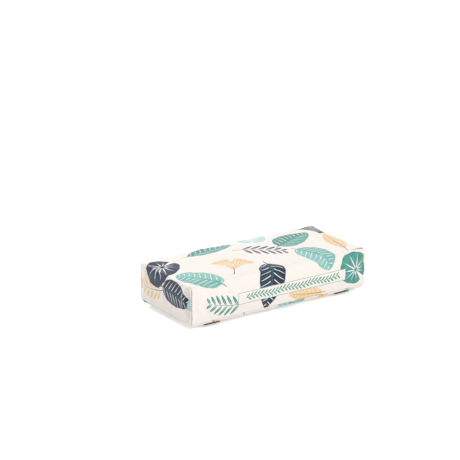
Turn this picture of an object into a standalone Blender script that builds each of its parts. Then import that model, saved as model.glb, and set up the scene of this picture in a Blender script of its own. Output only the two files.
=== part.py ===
"""Seat cushion for the rear rack of a bicycle.

A block of upholstery foam sits in a zipped cover of coated, leaf printed fabric. The top and the four
sides of the cover are one sheet with sewn corners, and its lower edge laps a shallow base panel. Two
hook-and-loop straps are sewn across the base. They are closed and folded flat here, as the cushion
lies on a table, and in use they go round the rails of the rack.

+X points to the rear of the bicycle, +Z up, and the origin is at the middle of the cushion's footprint.
"""

import math

import bmesh
import bpy
from mathutils import Matrix, Vector

MM = 0.001

# The cushion's body
CUSHION_LENGTH = 350 * MM
CUSHION_WIDTH = 155 * MM
CUSHION_HEIGHT = 70 * MM  # base face to seat face, at the edges
SEAT_CROWN = 4 * MM  # how far the middle of the seat stands above its edges
SIDE_BULGE = 1.5 * MM  # how far the front and the long sides swell at mid height
EDGE_SOFTNESS = 10 * MM  # from a sewn edge to where the face is flat
FABRIC = 1.0 * MM
GAP = 0.3 * MM  # left between pieces that touch

# The seam between the cover's lower edge and the base panel
SEAM_HEIGHT = 7 * MM
SEAM_LAP = 9 * MM

# The straps
STRAP_WIDTH = 30 * MM
STRAP_THICKNESS = 1.2 * MM
STRAP_FROM_END = 45 * MM  # from the end of the cushion to the strap's middle
STRAP_FOLD_INSET = 8 * MM  # from the side of the cushion to where the strap turns under
STRAP_OVERLAP = 90 * MM
STRAP_SINK = 0.5 * MM  # how far the sewn run presses into the base panel
TAPE_LENGTH = 80 * MM
TAPE_WIDTH = 26 * MM
TAPE_THICKNESS = 0.9 * MM

# The zip across the rear face
ZIP_HEIGHT = 35 * MM  # above the base face
ZIP_FROM_SIDE = 15.5 * MM  # from the side of the cushion to the zip's last tooth
TEETH_THICKNESS = 2.0 * MM
TOOTH_PITCH = 2.0 * MM
TOOTH_WIDTH = 1.1 * MM
TOOTH_REACH = 1.3 * MM
TEETH_SPINE = 0.8 * MM
TEETH_PARTING = 1.2 * MM  # between the two rows, for the slider's neck
ZIP_TAPE_WIDTH = 12 * MM
ZIP_TAPE_THICKNESS = 0.8 * MM
ZIP_TAPE_END = 8 * MM  # tape past the last tooth
SLOT_HEIGHT = 9.4 * MM
SLOT_END = 4 * MM  # slot past the last tooth
STOP_LENGTH = 2.4 * MM

# The slider and its pull
SLIDER_LENGTH = 9 * MM
SLIDER_WIDTH = 7.8 * MM
SLIDER_PLATE = 0.9 * MM
SLIDER_LIP = 0.6 * MM
SLIDER_NECK = 0.6 * MM
SLIDER_PLAY = 0.25 * MM
BAIL_LENGTH = 6.0 * MM
BAIL_WIDTH = 1.6 * MM
BAIL_WIRE = 0.7 * MM
BAIL_SHOULDER = 1.0 * MM
PULL_LENGTH = 24 * MM
PULL_WIDTH = 5.2 * MM
PULL_THICKNESS = 1.0 * MM
PULL_EYE_LENGTH = 4.0 * MM
PULL_EYE_WIDTH = 2.6 * MM

# Places that follow from the sizes above
STRAP_RUN_LOW = STRAP_THICKNESS / 2
HOOK_TAPE_Z = STRAP_THICKNESS + GAP + TAPE_THICKNESS / 2
LOOP_TAPE_Z = HOOK_TAPE_Z + TAPE_THICKNESS + GAP
STRAP_RUN_HIGH = LOOP_TAPE_Z + TAPE_THICKNESS / 2 + GAP + STRAP_THICKNESS / 2
STRAP_RUN_BASE = STRAP_RUN_HIGH + STRAP_THICKNESS + GAP
BASE_Z = STRAP_RUN_BASE + STRAP_THICKNESS / 2 + GAP - STRAP_SINK
SEAT_Z = BASE_Z + CUSHION_HEIGHT
STRAP_X = CUSHION_LENGTH / 2 - STRAP_FROM_END
STRAP_FOLD_Y = CUSHION_WIDTH / 2 - STRAP_FOLD_INSET
REAR_X = CUSHION_LENGTH / 2
TEETH_LENGTH = CUSHION_WIDTH - 2 * ZIP_FROM_SIDE
ZIP_Z = BASE_Z + ZIP_HEIGHT
ZIP_X = REAR_X - FABRIC - GAP - ZIP_TAPE_THICKNESS / 2
TEETH_OUTER = TEETH_PARTING / 2 + TOOTH_REACH + TEETH_SPINE
PLATE_INNER = TEETH_THICKNESS / 2 + SLIDER_PLAY
PLATE_OUTER = PLATE_INNER + SLIDER_PLATE
SLIDER_Y = TEETH_LENGTH / 2 - SLIDER_LENGTH / 2 - STOP_LENGTH / 2
PULL_X = ZIP_X + PLATE_OUTER + GAP + PULL_THICKNESS / 2

# Leaves of the print, as simple fields of colour on the cover's sheet:
# colour, place along the cushion, place across it, length, width and turn in degrees
LEAVES = (
    ("navy", -128, -58, 74, 56, 40),
    ("ochre", -66, -88, 78, 46, 96),
    ("teal", -150, 46, 84, 40, 14),
    ("navy", -52, 22, 70, 54, -32),
    ("mint", -2, -34, 76, 50, 64),
    ("teal", 26, 58, 86, 42, -10),
    ("navy", 54, -92, 82, 54, 108),
    ("ochre", 84, 4, 72, 30, -24),
    ("mint", 128, -62, 84, 44, 20),
    ("navy", 146, 44, 66, 40, 70),
    ("teal", 150, -124, 70, 50, 150),
    ("mint", -96, -134, 70, 44, 10),
    ("teal", 6, -140, 66, 40, -14),
    ("mint", -70, 104, 80, 46, -60),
    ("navy", 66, 112, 72, 52, 24),
    ("ochre", -206, -10, 66, 40, 84),
    ("mint", 206, 10, 70, 44, 78),
)
COLOURS = {
    "cream": "#F6EEE6",
    "navy": "#3F4F5E",
    "teal": "#4E9A8B",
    "mint": "#9CCFC6",
    "ochre": "#F0CB98",
    "foam": "#E9DDB8",
    "strap": "#26272A",
    "hook_tape": "#1C1D1F",
    "loop_tape": "#303236",
    "zip_tape": "#EDE4DA",
    "zip_teeth": "#DAD2C6",
    "metal": "#B9BABC",
}


def linear(name):
    """A named colour as linear red, green, blue and alpha."""
    code = COLOURS[name].lstrip("#")
    channels = [int(code[i : i + 2], 16) / 255 for i in (0, 2, 4)]
    curve = [c / 12.92 if c <= 0.04045 else ((c + 0.055) / 1.055) ** 2.4 for c in channels]
    return (*curve, 1.0)


def plain_material(name, colour, roughness, metallic=0.0):
    material = bpy.data.materials.new(name)
    material.use_nodes = True
    shader = material.node_tree.nodes["Principled BSDF"]
    shader.inputs["Base Color"].default_value = linear(colour)
    shader.inputs["Roughness"].default_value = roughness
    shader.inputs["Metallic"].default_value = metallic
    return material


def printed_material():
    """Cream coated fabric with each leaf as a pointed oval, placed by the sheet's own flat map."""
    material = plain_material("printed_fabric", "cream", 0.55)
    nodes, links = material.node_tree.nodes, material.node_tree.links
    sheet = nodes.new("ShaderNodeUVMap")
    sheet.uv_map = "sheet"
    colour = nodes.new("ShaderNodeRGB")
    colour.outputs[0].default_value = linear("cream")
    painted = colour.outputs[0]
    for name, along, across, length, width, turn in LEAVES:
        local = nodes.new("ShaderNodeMapping")
        local.vector_type = "TEXTURE"
        local.inputs["Location"].default_value = (along * MM, across * MM, 0)
        local.inputs["Rotation"].default_value = (0, 0, math.radians(turn))
        local.inputs["Scale"].default_value = (length / 2 * MM, width / 2 * MM, 1)
        links.new(sheet.outputs[0], local.inputs["Vector"])
        axes = nodes.new("ShaderNodeSeparateXYZ")
        links.new(local.outputs[0], axes.inputs[0])
        square = nodes.new("ShaderNodeMath")
        square.operation = "MULTIPLY"
        links.new(axes.outputs["X"], square.inputs[0])
        links.new(axes.outputs["X"], square.inputs[1])
        side = nodes.new("ShaderNodeMath")
        side.operation = "ABSOLUTE"
        links.new(axes.outputs["Y"], side.inputs[0])
        reach = nodes.new("ShaderNodeMath")
        links.new(square.outputs[0], reach.inputs[0])
        links.new(side.outputs[0], reach.inputs[1])
        inside = nodes.new("ShaderNodeMath")
        inside.operation = "LESS_THAN"
        inside.inputs[1].default_value = 1.0
        links.new(reach.outputs[0], inside.inputs[0])
        mix = nodes.new("ShaderNodeMix")
        mix.data_type = "RGBA"
        mix.inputs["B"].default_value = linear(name)
        links.new(inside.outputs[0], mix.inputs["Factor"])
        links.new(painted, mix.inputs["A"])
        painted = mix.outputs["Result"]
    links.new(painted, nodes["Principled BSDF"].inputs["Base Color"])
    return material


def new_collection(name):
    collection = bpy.data.collections.new(name)
    bpy.context.scene.collection.children.link(collection)
    return collection


def add_object(name, data, collection, material=None):
    obj = bpy.data.objects.new(name, data)
    collection.objects.link(obj)
    if material:
        obj.data.materials.append(material)
    return obj


def object_from_bmesh(name, shape, collection, material=None):
    bmesh.ops.recalc_face_normals(shape, faces=shape.faces)
    mesh = bpy.data.meshes.new(name)
    shape.to_mesh(mesh)
    shape.free()
    return add_object(name, mesh, collection, material)


def box_shape(length, width, bottom, top):
    """A cube primitive brought to size, centred in plan."""
    shape = bmesh.new()
    bmesh.ops.create_cube(shape, size=1)
    size = Matrix.Diagonal((length, width, top - bottom, 1))
    place = Matrix.Translation((0, 0, (top + bottom) / 2))
    bmesh.ops.transform(shape, matrix=place @ size, verts=shape.verts)
    return shape


def cut_loops(shape, axis, places):
    """Adds an edge loop in the plane across an axis at each place."""
    normal = Vector((0, 0, 0))
    normal[axis] = 1
    for place in places:
        geometry = [*shape.verts, *shape.edges, *shape.faces]
        bmesh.ops.bisect_plane(shape, geom=geometry, plane_co=normal * place, plane_no=normal)


def delete_side(shape, height):
    """Opens a cage at the side that lies in the level plane at this height."""
    level = [f for f in shape.faces if abs(f.calc_center_median().z - height) < 0.1 * MM]
    bmesh.ops.delete(shape, geom=level, context="FACES_ONLY")


def unfold_sheet(shape, top):
    """Maps each face as it lies on the flat sheet: the seat in the middle and the sides folded out."""
    layer = shape.loops.layers.uv.new("sheet")
    for face in shape.faces:
        normal = face.normal
        for loop in face.loops:
            x, y, z = loop.vert.co
            drop = top - z
            along = x + math.copysign(drop, normal.x) * (abs(normal.x) > 0.7)
            across = y + math.copysign(drop, normal.y) * (abs(normal.y) > 0.7)
            loop[layer].uv = (along, across)


def swell(shape, length, width, middle, bulge):
    """Pushes the loop at mid height out on the front and the long sides, more in their middles."""
    for vert in shape.verts:
        if abs(vert.co.z - middle) > 0.1 * MM:
            continue
        if abs(vert.co.y) > width / 2 - 0.1 * MM and abs(vert.co.x) < length / 2 - EDGE_SOFTNESS:
            vert.co.y += math.copysign(bulge, vert.co.y)
        elif vert.co.x < -length / 2 + 0.1 * MM and abs(vert.co.y) < width / 2 - EDGE_SOFTNESS:
            vert.co.x -= bulge


def crown(shape, length, width, top, rise):
    """Lifts the seat face, with most of the rise in its middle and none at its edges."""
    for vert in shape.verts:
        if abs(vert.co.z - top) < 0.1 * MM:
            along = 1 - (2 * vert.co.x / length) ** 4
            across = 1 - (2 * vert.co.y / width) ** 2
            vert.co.z += rise * max(0.0, along) * max(0.0, across)


def soften(obj, levels):
    modifier = obj.modifiers.new("rounding", "SUBSURF")
    modifier.levels = levels
    modifier.render_levels = levels
    obj.data.shade_smooth()


def thicken(obj, thickness):
    """Gives an open surface its thickness on the inner side."""
    modifier = obj.modifiers.new("thickness", "SOLIDIFY")
    modifier.thickness = thickness
    modifier.offset = -1
    modifier.use_even_offset = True


def cut(obj, cutter, name):
    modifier = obj.modifiers.new(name, "BOOLEAN")
    modifier.operation = "DIFFERENCE"
    modifier.solver = "EXACT"
    modifier.object = cutter


def make_cutter(name, length, width, height, centre, collection):
    shape = box_shape(length, width, -height / 2, height / 2)
    cutter = object_from_bmesh(name, shape, collection)
    cutter.location = centre
    cutter.hide_render = True
    cutter.display_type = "WIRE"
    return cutter


def body_cage(inset, bottom, top):
    """The cushion's box, inset from its outline, with loops beside each edge and across the faces."""
    length = CUSHION_LENGTH - 2 * inset
    width = CUSHION_WIDTH - 2 * inset
    soft = EDGE_SOFTNESS - inset
    shape = box_shape(length, width, bottom, top)
    ends = length / 2 - soft
    cut_loops(shape, 0, (-ends, -ends / 2, 0, ends / 2, ends))
    cut_loops(shape, 1, (-(width / 2 - soft), 0, width / 2 - soft))
    cut_loops(shape, 2, (top - soft, (top + bottom) / 2))
    return shape, length, width, soft


def make_cover(collection, cutters, material):
    """One sheet: the seat face folded down into four sides, open below, with a slot for the zip."""
    bottom = BASE_Z + SEAM_HEIGHT
    shape, length, width, soft = body_cage(0, bottom, SEAT_Z)
    delete_side(shape, bottom)
    shape.normal_update()
    unfold_sheet(shape, SEAT_Z)
    swell(shape, length, width, (SEAT_Z + bottom) / 2, SIDE_BULGE)
    crown(shape, length, width, SEAT_Z, SEAT_CROWN)
    cover = object_from_bmesh("printed_cover", shape, collection, material)
    soften(cover, 2)
    thicken(cover, FABRIC)
    slot_length = TEETH_LENGTH + 2 * SLOT_END
    place = (REAR_X, 0, ZIP_Z)
    slot = make_cutter("zip_slot", 8 * FABRIC, slot_length, SLOT_HEIGHT, place, cutters)
    cut(cover, slot, "zip_slot")
    return cover


def make_base(collection, cutters, material):
    """A shallow tray whose rim stands inside the cover's lower edge, pressed in along the sewn straps."""
    inset = FABRIC + GAP
    top = BASE_Z + SEAM_HEIGHT + SEAM_LAP
    length = CUSHION_LENGTH - 2 * inset
    width = CUSHION_WIDTH - 2 * inset
    soft = EDGE_SOFTNESS - inset
    shape = box_shape(length, width, BASE_Z, top)
    ends = length / 2 - soft
    cut_loops(shape, 0, (-ends, -ends / 2, 0, ends / 2, ends))
    cut_loops(shape, 1, (-(width / 2 - soft), 0, width / 2 - soft))
    cut_loops(shape, 2, (BASE_Z + SEAM_HEIGHT,))
    delete_side(shape, top)
    shape.normal_update()
    unfold_sheet(shape, BASE_Z)
    base = object_from_bmesh("base_panel", shape, collection, material)
    soften(base, 2)
    thicken(base, FABRIC)
    for end, x in (("front", -STRAP_X), ("rear", STRAP_X)):
        name = f"{end}_strap_bed"
        size = (STRAP_WIDTH + 2 * GAP, 2 * CUSHION_WIDTH, 2 * STRAP_SINK)
        bed = make_cutter(name, *size, (x, 0, BASE_Z), cutters)
        cut(base, bed, name)
    return base


def make_foam(collection, cutters, material):
    """The foam block, with a recess behind the zip for its tapes and the inside of the slider."""
    inset = 2 * (FABRIC + GAP)
    bottom = BASE_Z + FABRIC + GAP
    top = SEAT_Z - FABRIC - GAP
    shape, length, width, soft = body_cage(inset, bottom, top)
    cut_loops(shape, 2, (bottom + soft,))
    crown(shape, length, width, top, SEAT_CROWN)
    foam = object_from_bmesh("foam_core", shape, collection, material)
    soften(foam, 2)
    depth = REAR_X - (ZIP_X - PLATE_OUTER - GAP)
    tape_reach = 2 * (TEETH_OUTER + GAP + ZIP_TAPE_WIDTH + GAP)
    zip_length = TEETH_LENGTH + 2 * (ZIP_TAPE_END + GAP)
    recess = make_cutter("zip_recess", 2 * depth, zip_length, tape_reach, (REAR_X, 0, ZIP_Z), cutters)
    cut(foam, recess, "zip_recess")
    return foam


def strap_path():
    """The strap's middle line across the cushion: in from one free end, round the sewn run, and out."""
    points = [Vector((STRAP_OVERLAP / 2, STRAP_RUN_HIGH))]
    folds = (
        (-STRAP_FOLD_Y, STRAP_RUN_HIGH, STRAP_RUN_BASE, 270, 90, 8),
        (STRAP_FOLD_Y, STRAP_RUN_LOW, STRAP_RUN_BASE, 90, -90, 12),
    )
    for y, low, high, start, end, steps in folds:
        radius = (high - low) / 2
        for step in range(steps + 1):
            angle = math.radians(start + (end - start) * step / steps)
            points.append(Vector((y + radius * math.cos(angle), low + radius + radius * math.sin(angle))))
    points.append(Vector((-STRAP_OVERLAP / 2, STRAP_RUN_LOW)))
    return points


def make_strap(name, x, collection, material):
    """Webbing that follows the folded path, as an extruded surface given its thickness."""
    shape = bmesh.new()
    half = Vector((STRAP_WIDTH / 2, 0, 0))
    rows = []
    for point in strap_path():
        middle = Vector((0, point.x, point.y))
        rows.append([shape.verts.new(middle - half), shape.verts.new(middle + half)])
    for (a, b), (c, d) in zip(rows, rows[1:]):
        shape.faces.new((a, b, d, c))
    strap = object_from_bmesh(name, shape, collection, material)
    strap.location.x = x
    modifier = strap.modifiers.new("thickness", "SOLIDIFY")
    modifier.thickness = STRAP_THICKNESS
    modifier.offset = 0
    return strap


def make_block(name, length, width, thickness, centre, collection, material):
    """A flat piece with rounded edges, placed by its centre."""
    shape = box_shape(length, width, -thickness / 2, thickness / 2)
    block = object_from_bmesh(name, shape, collection, material)
    block.location = centre
    rounding = block.modifiers.new("rounding", "BEVEL")
    rounding.width = min(length, width, thickness) / 4
    rounding.segments = 2
    return block


def make_outline(name, outlines, thickness, collection, material=None):
    """A flat piece cut to closed outlines in its own XY plane, the first outside and the rest holes."""
    curve = bpy.data.curves.new(name, "CURVE")
    curve.dimensions = "2D"
    curve.fill_mode = "BOTH"
    curve.extrude = thickness / 2
    for outline in outlines:
        spline = curve.splines.new("POLY")
        spline.points.add(len(outline) - 1)
        spline.use_cyclic_u = True
        for point, (u, v) in zip(spline.points, outline):
            point.co = (u, v, 0, 1)
    return add_object(name, curve, collection, material)


def as_mesh(obj):
    """A curve object turned into a mesh with its caps welded, in the same place."""
    graph = bpy.context.evaluated_depsgraph_get()
    mesh = bpy.data.meshes.new_from_object(obj.evaluated_get(graph))
    shape = bmesh.new()
    shape.from_mesh(mesh)
    bmesh.ops.remove_doubles(shape, verts=shape.verts, dist=0.001 * MM)
    shape.to_mesh(mesh)
    shape.free()
    name, place, collection = obj.name, obj.matrix_world.copy(), obj.users_collection[0]
    bpy.data.objects.remove(obj)
    made = add_object(name, mesh, collection)
    made.matrix_world = place
    return made


# Turns a flat outline so that its X runs along the zip (+Y), its Y up (+Z) and its thickness along +X
ON_REAR_FACE = Matrix(((0, 0, 1, 0), (1, 0, 0, 0), (0, 1, 0, 0), (0, 0, 0, 1)))
# Turns a flat outline so that its X points to the rear (+X), its Y up (+Z) and its thickness along Y
ACROSS_ZIP = Matrix(((1, 0, 0, 0), (0, 0, -1, 0), (0, 1, 0, 0), (0, 0, 0, 1)))
# Turns a flat outline so that its X runs along the zip (+Y), its Y to the rear (+X), thickness along Z
ALONG_ZIP = Matrix(((0, 1, 0, 0), (1, 0, 0, 0), (0, 0, -1, 0), (0, 0, 0, 1)))


def comb_outline():
    """A row of teeth on its spine, with the teeth pointing down."""
    count = round(TEETH_LENGTH / TOOTH_PITCH)
    start = -TEETH_LENGTH / 2
    tips = TEETH_PARTING / 2
    roots = tips + TOOTH_REACH
    points = [(TEETH_LENGTH / 2, roots + TEETH_SPINE), (start, roots + TEETH_SPINE), (start, roots)]
    for tooth in range(count):
        left = start + tooth * TOOTH_PITCH + (TOOTH_PITCH - TOOTH_WIDTH) / 2
        right = left + TOOTH_WIDTH
        points += [(left, roots), (left, tips), (right, tips), (right, roots)]
    points.append((TEETH_LENGTH / 2, roots))
    return points


def make_zip_halves(collection, materials):
    """Each half is a woven tape and a row of teeth along its inner edge, closed against the other."""
    tape_length = TEETH_LENGTH + 2 * ZIP_TAPE_END
    tape_z = TEETH_OUTER + GAP + ZIP_TAPE_WIDTH / 2
    for side, up in (("upper", 1), ("lower", -1)):
        tape = make_block(
            f"zip_tape_{side}",
            ZIP_TAPE_THICKNESS,
            tape_length,
            ZIP_TAPE_WIDTH,
            (ZIP_X, 0, ZIP_Z + up * tape_z),
            collection,
            materials["zip_tape"],
        )
        tape.modifiers["rounding"].segments = 1
        comb = [(u, up * v) for u, v in comb_outline()]
        teeth = make_outline(f"zip_teeth_{side}", [comb], TEETH_THICKNESS, collection, materials["zip_teeth"])
        teeth.matrix_world = Matrix.Translation((ZIP_X, 0, ZIP_Z)) @ ON_REAR_FACE


def make_zip_stops(collection, material):
    """Two small stops hold the slider at the closed end, and one wide stop joins the tapes at the other."""
    y = TEETH_LENGTH / 2 + GAP + STOP_LENGTH / 2
    height = TEETH_OUTER - TEETH_PARTING / 2
    middle = (TEETH_OUTER + TEETH_PARTING / 2) / 2
    for side, up in (("upper", 1), ("lower", -1)):
        place = (ZIP_X, y, ZIP_Z + up * middle)
        make_block(f"zip_top_stop_{side}", TEETH_THICKNESS, STOP_LENGTH, height, place, collection, material)
    place = (ZIP_X, -y, ZIP_Z)
    make_block("zip_bottom_stop", TEETH_THICKNESS, STOP_LENGTH, 2 * TEETH_OUTER, place, collection, material)


def slider_section():
    """Section across the zip: two plates with lips that hold the tapes' edges, joined by a thin neck."""
    half = SLIDER_WIDTH / 2
    lip = ZIP_TAPE_THICKNESS / 2 + GAP
    neck = SLIDER_NECK / 2
    quarter = [
        (PLATE_OUTER, half),
        (lip, half),
        (lip, half - SLIDER_LIP),
        (PLATE_INNER, half - SLIDER_LIP),
        (PLATE_INNER, neck),
    ]
    upper = quarter + [(-u, v) for u, v in reversed(quarter)]
    return upper + [(-u, -v) for u, v in upper]


def bail_outline():
    """The arch over the slider that holds the pull's eye, with its feet sunk in the outer plate."""
    half = BAIL_LENGTH / 2
    foot = PLATE_OUTER - SLIDER_PLATE / 2
    inside = PULL_X - ZIP_X + PULL_THICKNESS / 2 + GAP
    outside = inside + BAIL_WIRE
    return [
        (-half, foot),
        (-half, outside - BAIL_SHOULDER),
        (-half + BAIL_SHOULDER, outside),
        (half - BAIL_SHOULDER, outside),
        (half, outside - BAIL_SHOULDER),
        (half, foot),
        (half - BAIL_WIRE, foot),
        (half - BAIL_WIRE, inside),
        (-half + BAIL_WIRE, inside),
        (-half + BAIL_WIRE, foot),
    ]


def make_slider(collection, cutters, material):
    body = make_outline("zip_slider", [slider_section()], SLIDER_LENGTH, collection)
    body.matrix_world = Matrix.Translation((ZIP_X, SLIDER_Y, ZIP_Z)) @ ACROSS_ZIP
    bail = make_outline("slider_bail", [bail_outline()], BAIL_WIDTH, cutters)
    bail.matrix_world = Matrix.Translation((ZIP_X, SLIDER_Y, ZIP_Z)) @ ALONG_ZIP
    bpy.context.view_layer.update()
    slider = as_mesh(body)
    arch = as_mesh(bail)
    arch.hide_render = True
    arch.display_type = "WIRE"
    join = slider.modifiers.new("bail", "BOOLEAN")
    join.operation = "UNION"
    join.solver = "EXACT"
    join.object = arch
    slider.data.materials.append(material)
    return slider


def round_end(radius, centre, start, end, steps=8):
    """Points on an arc about a place on the outline's middle line, with angles in degrees."""
    turns = [math.radians(start + (end - start) * i / steps) for i in range(steps + 1)]
    return [(centre + radius * math.cos(t), radius * math.sin(t)) for t in turns]


def pull_outlines():
    """The pull from its eye's end bar at the outline's origin to its rounded tip at the far end."""
    bar = PULL_THICKNESS / 2
    tip = PULL_LENGTH - bar - PULL_WIDTH / 2
    neck = PULL_EYE_LENGTH + 3 * bar
    eye = PULL_EYE_WIDTH / 2 + 2 * bar
    waist = PULL_WIDTH / 3
    outer = [(bar, eye), (-neck, eye), (-neck - 2 * bar, waist), (-tip, PULL_WIDTH / 2)]
    outer += round_end(PULL_WIDTH / 2, -tip, 90, 270)[1:-1]
    outer += [(u, -v) for u, v in reversed(outer[:4])]
    half = PULL_EYE_WIDTH / 2
    far = -bar - PULL_EYE_LENGTH
    hole = [(-bar, half), (-bar, -half), (far, -half), (far, half)]
    return [outer, hole]


def make_pull(collection, material):
    """The pull lies flat along the closed teeth, and swings about the bar of its eye."""
    pull = make_outline("zip_pull", pull_outlines(), PULL_THICKNESS, collection)
    pull.matrix_world = Matrix.Translation((PULL_X, SLIDER_Y, ZIP_Z)) @ ON_REAR_FACE
    bpy.context.view_layer.update()
    pull = as_mesh(pull)
    pull.data.materials.append(material)
    return pull


def make_straps(collection, materials):
    """The front and the rear strap, each with hook tape on one end and loop tape on the other."""
    for end, x in (("front", -STRAP_X), ("rear", STRAP_X)):
        make_strap(f"{end}_strap", x, collection, materials["strap"])
        for kind, z in (("hook_tape", HOOK_TAPE_Z), ("loop_tape", LOOP_TAPE_Z)):
            name = f"{end}_{kind}"
            size = (TAPE_WIDTH, TAPE_LENGTH, TAPE_THICKNESS)
            make_block(name, *size, (x, 0, z), collection, materials[kind])


def main():
    for obj in list(bpy.data.objects):
        bpy.data.objects.remove(obj)
    parts = new_collection("rack_seat_cushion")
    cutters = new_collection("cutters")
    printed = printed_material()
    materials = {
        "foam": plain_material("upholstery_foam", "foam", 0.9),
        "strap": plain_material("webbing", "strap", 0.75),
        "hook_tape": plain_material("hook_tape", "hook_tape", 0.8),
        "loop_tape": plain_material("loop_tape", "loop_tape", 0.95),
        "zip_tape": plain_material("zip_tape", "zip_tape", 0.85),
        "zip_teeth": plain_material("zip_teeth", "zip_teeth", 0.4),
        "metal": plain_material("nickel_plate", "metal", 0.3, 1.0),
    }
    make_cover(parts, cutters, printed)
    make_base(parts, cutters, printed)
    make_foam(parts, cutters, materials["foam"])
    make_straps(parts, materials)
    make_zip_halves(parts, materials)
    make_zip_stops(parts, materials["metal"])
    make_slider(parts, cutters, materials["metal"])
    make_pull(parts, materials["metal"])


main()
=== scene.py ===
import math
from functools import partial

import bpy
import numpy as np
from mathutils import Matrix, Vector
from mathutils.bvhtree import BVHTree


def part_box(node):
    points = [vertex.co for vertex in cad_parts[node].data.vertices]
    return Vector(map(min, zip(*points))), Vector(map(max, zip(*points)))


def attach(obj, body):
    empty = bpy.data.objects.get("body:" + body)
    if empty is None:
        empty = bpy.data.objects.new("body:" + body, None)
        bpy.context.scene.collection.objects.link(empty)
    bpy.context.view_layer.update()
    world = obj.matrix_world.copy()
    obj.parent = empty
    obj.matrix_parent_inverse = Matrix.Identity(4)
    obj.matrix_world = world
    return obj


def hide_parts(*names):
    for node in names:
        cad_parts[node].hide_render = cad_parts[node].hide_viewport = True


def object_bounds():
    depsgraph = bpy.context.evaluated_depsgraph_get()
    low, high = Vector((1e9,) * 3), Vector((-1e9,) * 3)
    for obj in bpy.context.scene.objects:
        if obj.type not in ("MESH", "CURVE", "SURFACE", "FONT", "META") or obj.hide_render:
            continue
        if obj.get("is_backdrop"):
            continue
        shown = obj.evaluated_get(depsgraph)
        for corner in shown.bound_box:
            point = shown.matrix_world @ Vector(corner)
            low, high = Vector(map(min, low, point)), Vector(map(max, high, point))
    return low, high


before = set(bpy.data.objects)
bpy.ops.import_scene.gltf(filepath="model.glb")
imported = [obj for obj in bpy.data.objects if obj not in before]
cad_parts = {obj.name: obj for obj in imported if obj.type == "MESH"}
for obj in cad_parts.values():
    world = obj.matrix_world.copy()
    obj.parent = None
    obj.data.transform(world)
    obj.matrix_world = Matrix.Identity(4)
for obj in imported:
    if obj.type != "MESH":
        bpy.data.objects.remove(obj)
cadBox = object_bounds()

# Looks for a rack seat cushion: a printed, coated cover over firm foam, with straps and a zip.
# Lengths are in metres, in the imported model's frame. The print is in millimetres on the flat sheet.
mm = 0.001
coverLow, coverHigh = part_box("printed_cover")
baseLow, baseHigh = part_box("base_panel")
lowerTapeLow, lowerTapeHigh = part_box("zip_tape_lower")
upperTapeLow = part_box("zip_tape_upper")[0]

body = {
    "halfLength": coverHigh.x,
    "halfWidth": baseHigh.y + 1.3 * mm,
    "seat": coverHigh.z - 2.9 * mm,  # height of the seat face at its edges
    "hem": coverLow.z,
    "base": baseLow.z,
    "fabric": 1.0 * mm,
}
zipPlace = Vector((lowerTapeLow.x + lowerTapeHigh.x, 0, lowerTapeHigh.z + upperTapeLow.z)) / 2


def linearColour(code):
    # a hex colour as it is written, turned to the linear values that Blender works in
    channels = np.array([int(code[i : i + 2], 16) for i in (1, 3, 5)]) / 255
    curved = np.where(channels <= 0.04045, channels / 12.92, ((channels + 0.055) / 1.055) ** 2.4)
    return (*curved.tolist(), 1.0)


def addNode(tree, kind, inputs=(), **settings):
    # one node with its settings; an input is a value, a socket, or a node's first live output
    node = tree.nodes.new("ShaderNode" + kind)
    for key, value in settings.items():
        setattr(node, key, value)
    for key, value in inputs.items() if isinstance(inputs, dict) else enumerate(inputs):
        live = [s for s in node.inputs if s.enabled]
        socket = live[key] if isinstance(key, int) else next(s for s in live if s.name == key)
        if isinstance(value, bpy.types.Node):
            value = next(s for s in value.outputs if s.enabled)
        if isinstance(value, bpy.types.NodeSocket):
            tree.links.new(value, socket)
        else:
            socket.default_value = value
    return node


def newMaterial(name, **finish):
    # finish sets the shader's own sockets, with _ for a space in their names.
    # Gives the material, put, which adds a node, and wire, which links nodes to the shader.
    material = bpy.data.materials.new(name)
    material.use_nodes = True
    tree = material.node_tree
    shader = tree.nodes["Principled BSDF"]
    for key, value in finish.items():
        shader.inputs[key.replace("_", " ")].default_value = value
    return material, partial(addNode, tree), partial(wireShader, tree, shader)


def wireShader(tree, shader, **sources):
    # links the first live output of each node to the shader's socket of that name
    for key, node in sources.items():
        tree.links.new(next(s for s in node.outputs if s.enabled), shader.inputs[key.replace("_", " ")])


def gridFaces(rows, columns, wrap=False):
    # each cell of a grid of points as a face; wrap joins the last column to the first
    r, c = np.meshgrid(np.arange(rows - 1), np.arange(columns - (not wrap)), indexing="ij")
    n = (c + 1) % columns
    cells = [r * columns + c, r * columns + n, (r + 1) * columns + n, (r + 1) * columns + c]
    return np.stack(cells, axis=-1).reshape(-1, 4)


def tubeFaces(rows, columns, start=0, turned=False):
    # a tube of rings with a cap at each end; turned where its rings run the other way round
    last = start + (rows - 1) * columns
    faces = (gridFaces(rows, columns, wrap=True) + start).tolist()
    faces += [list(range(start, start + columns))[::-1], list(range(last, last + columns))]
    return [face[::-1] for face in faces] if turned else faces


def makePiece(name, points, faces, material, flat=None, smooth=True):
    # flat is each face corner's place on the cut sheet, kept as the map named sheet
    mesh = bpy.data.meshes.new(name)
    faces = faces.tolist() if isinstance(faces, np.ndarray) else faces
    mesh.from_pydata(points.reshape(-1, 3).tolist(), [], faces)
    if smooth:
        mesh.shade_smooth()
    if flat is not None:
        mesh.uv_layers.new(name="sheet").data.foreach_set("uv", flat.ravel())
    piece = bpy.data.objects.new(name, mesh)
    bpy.context.scene.collection.objects.link(piece)
    mesh.materials.append(material)
    return piece


def dress(piece, bodyName, slotName, *nodes):
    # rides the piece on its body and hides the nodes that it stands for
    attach(piece, bodyName)
    if nodes:
        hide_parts(*nodes)
    return piece


def readPoints(items, key):
    # a vector that each of a mesh's items holds, as rows of three
    values = np.empty(len(items) * 3)
    items.foreach_get(key, values)
    return values.reshape(-1, 3)


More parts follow.
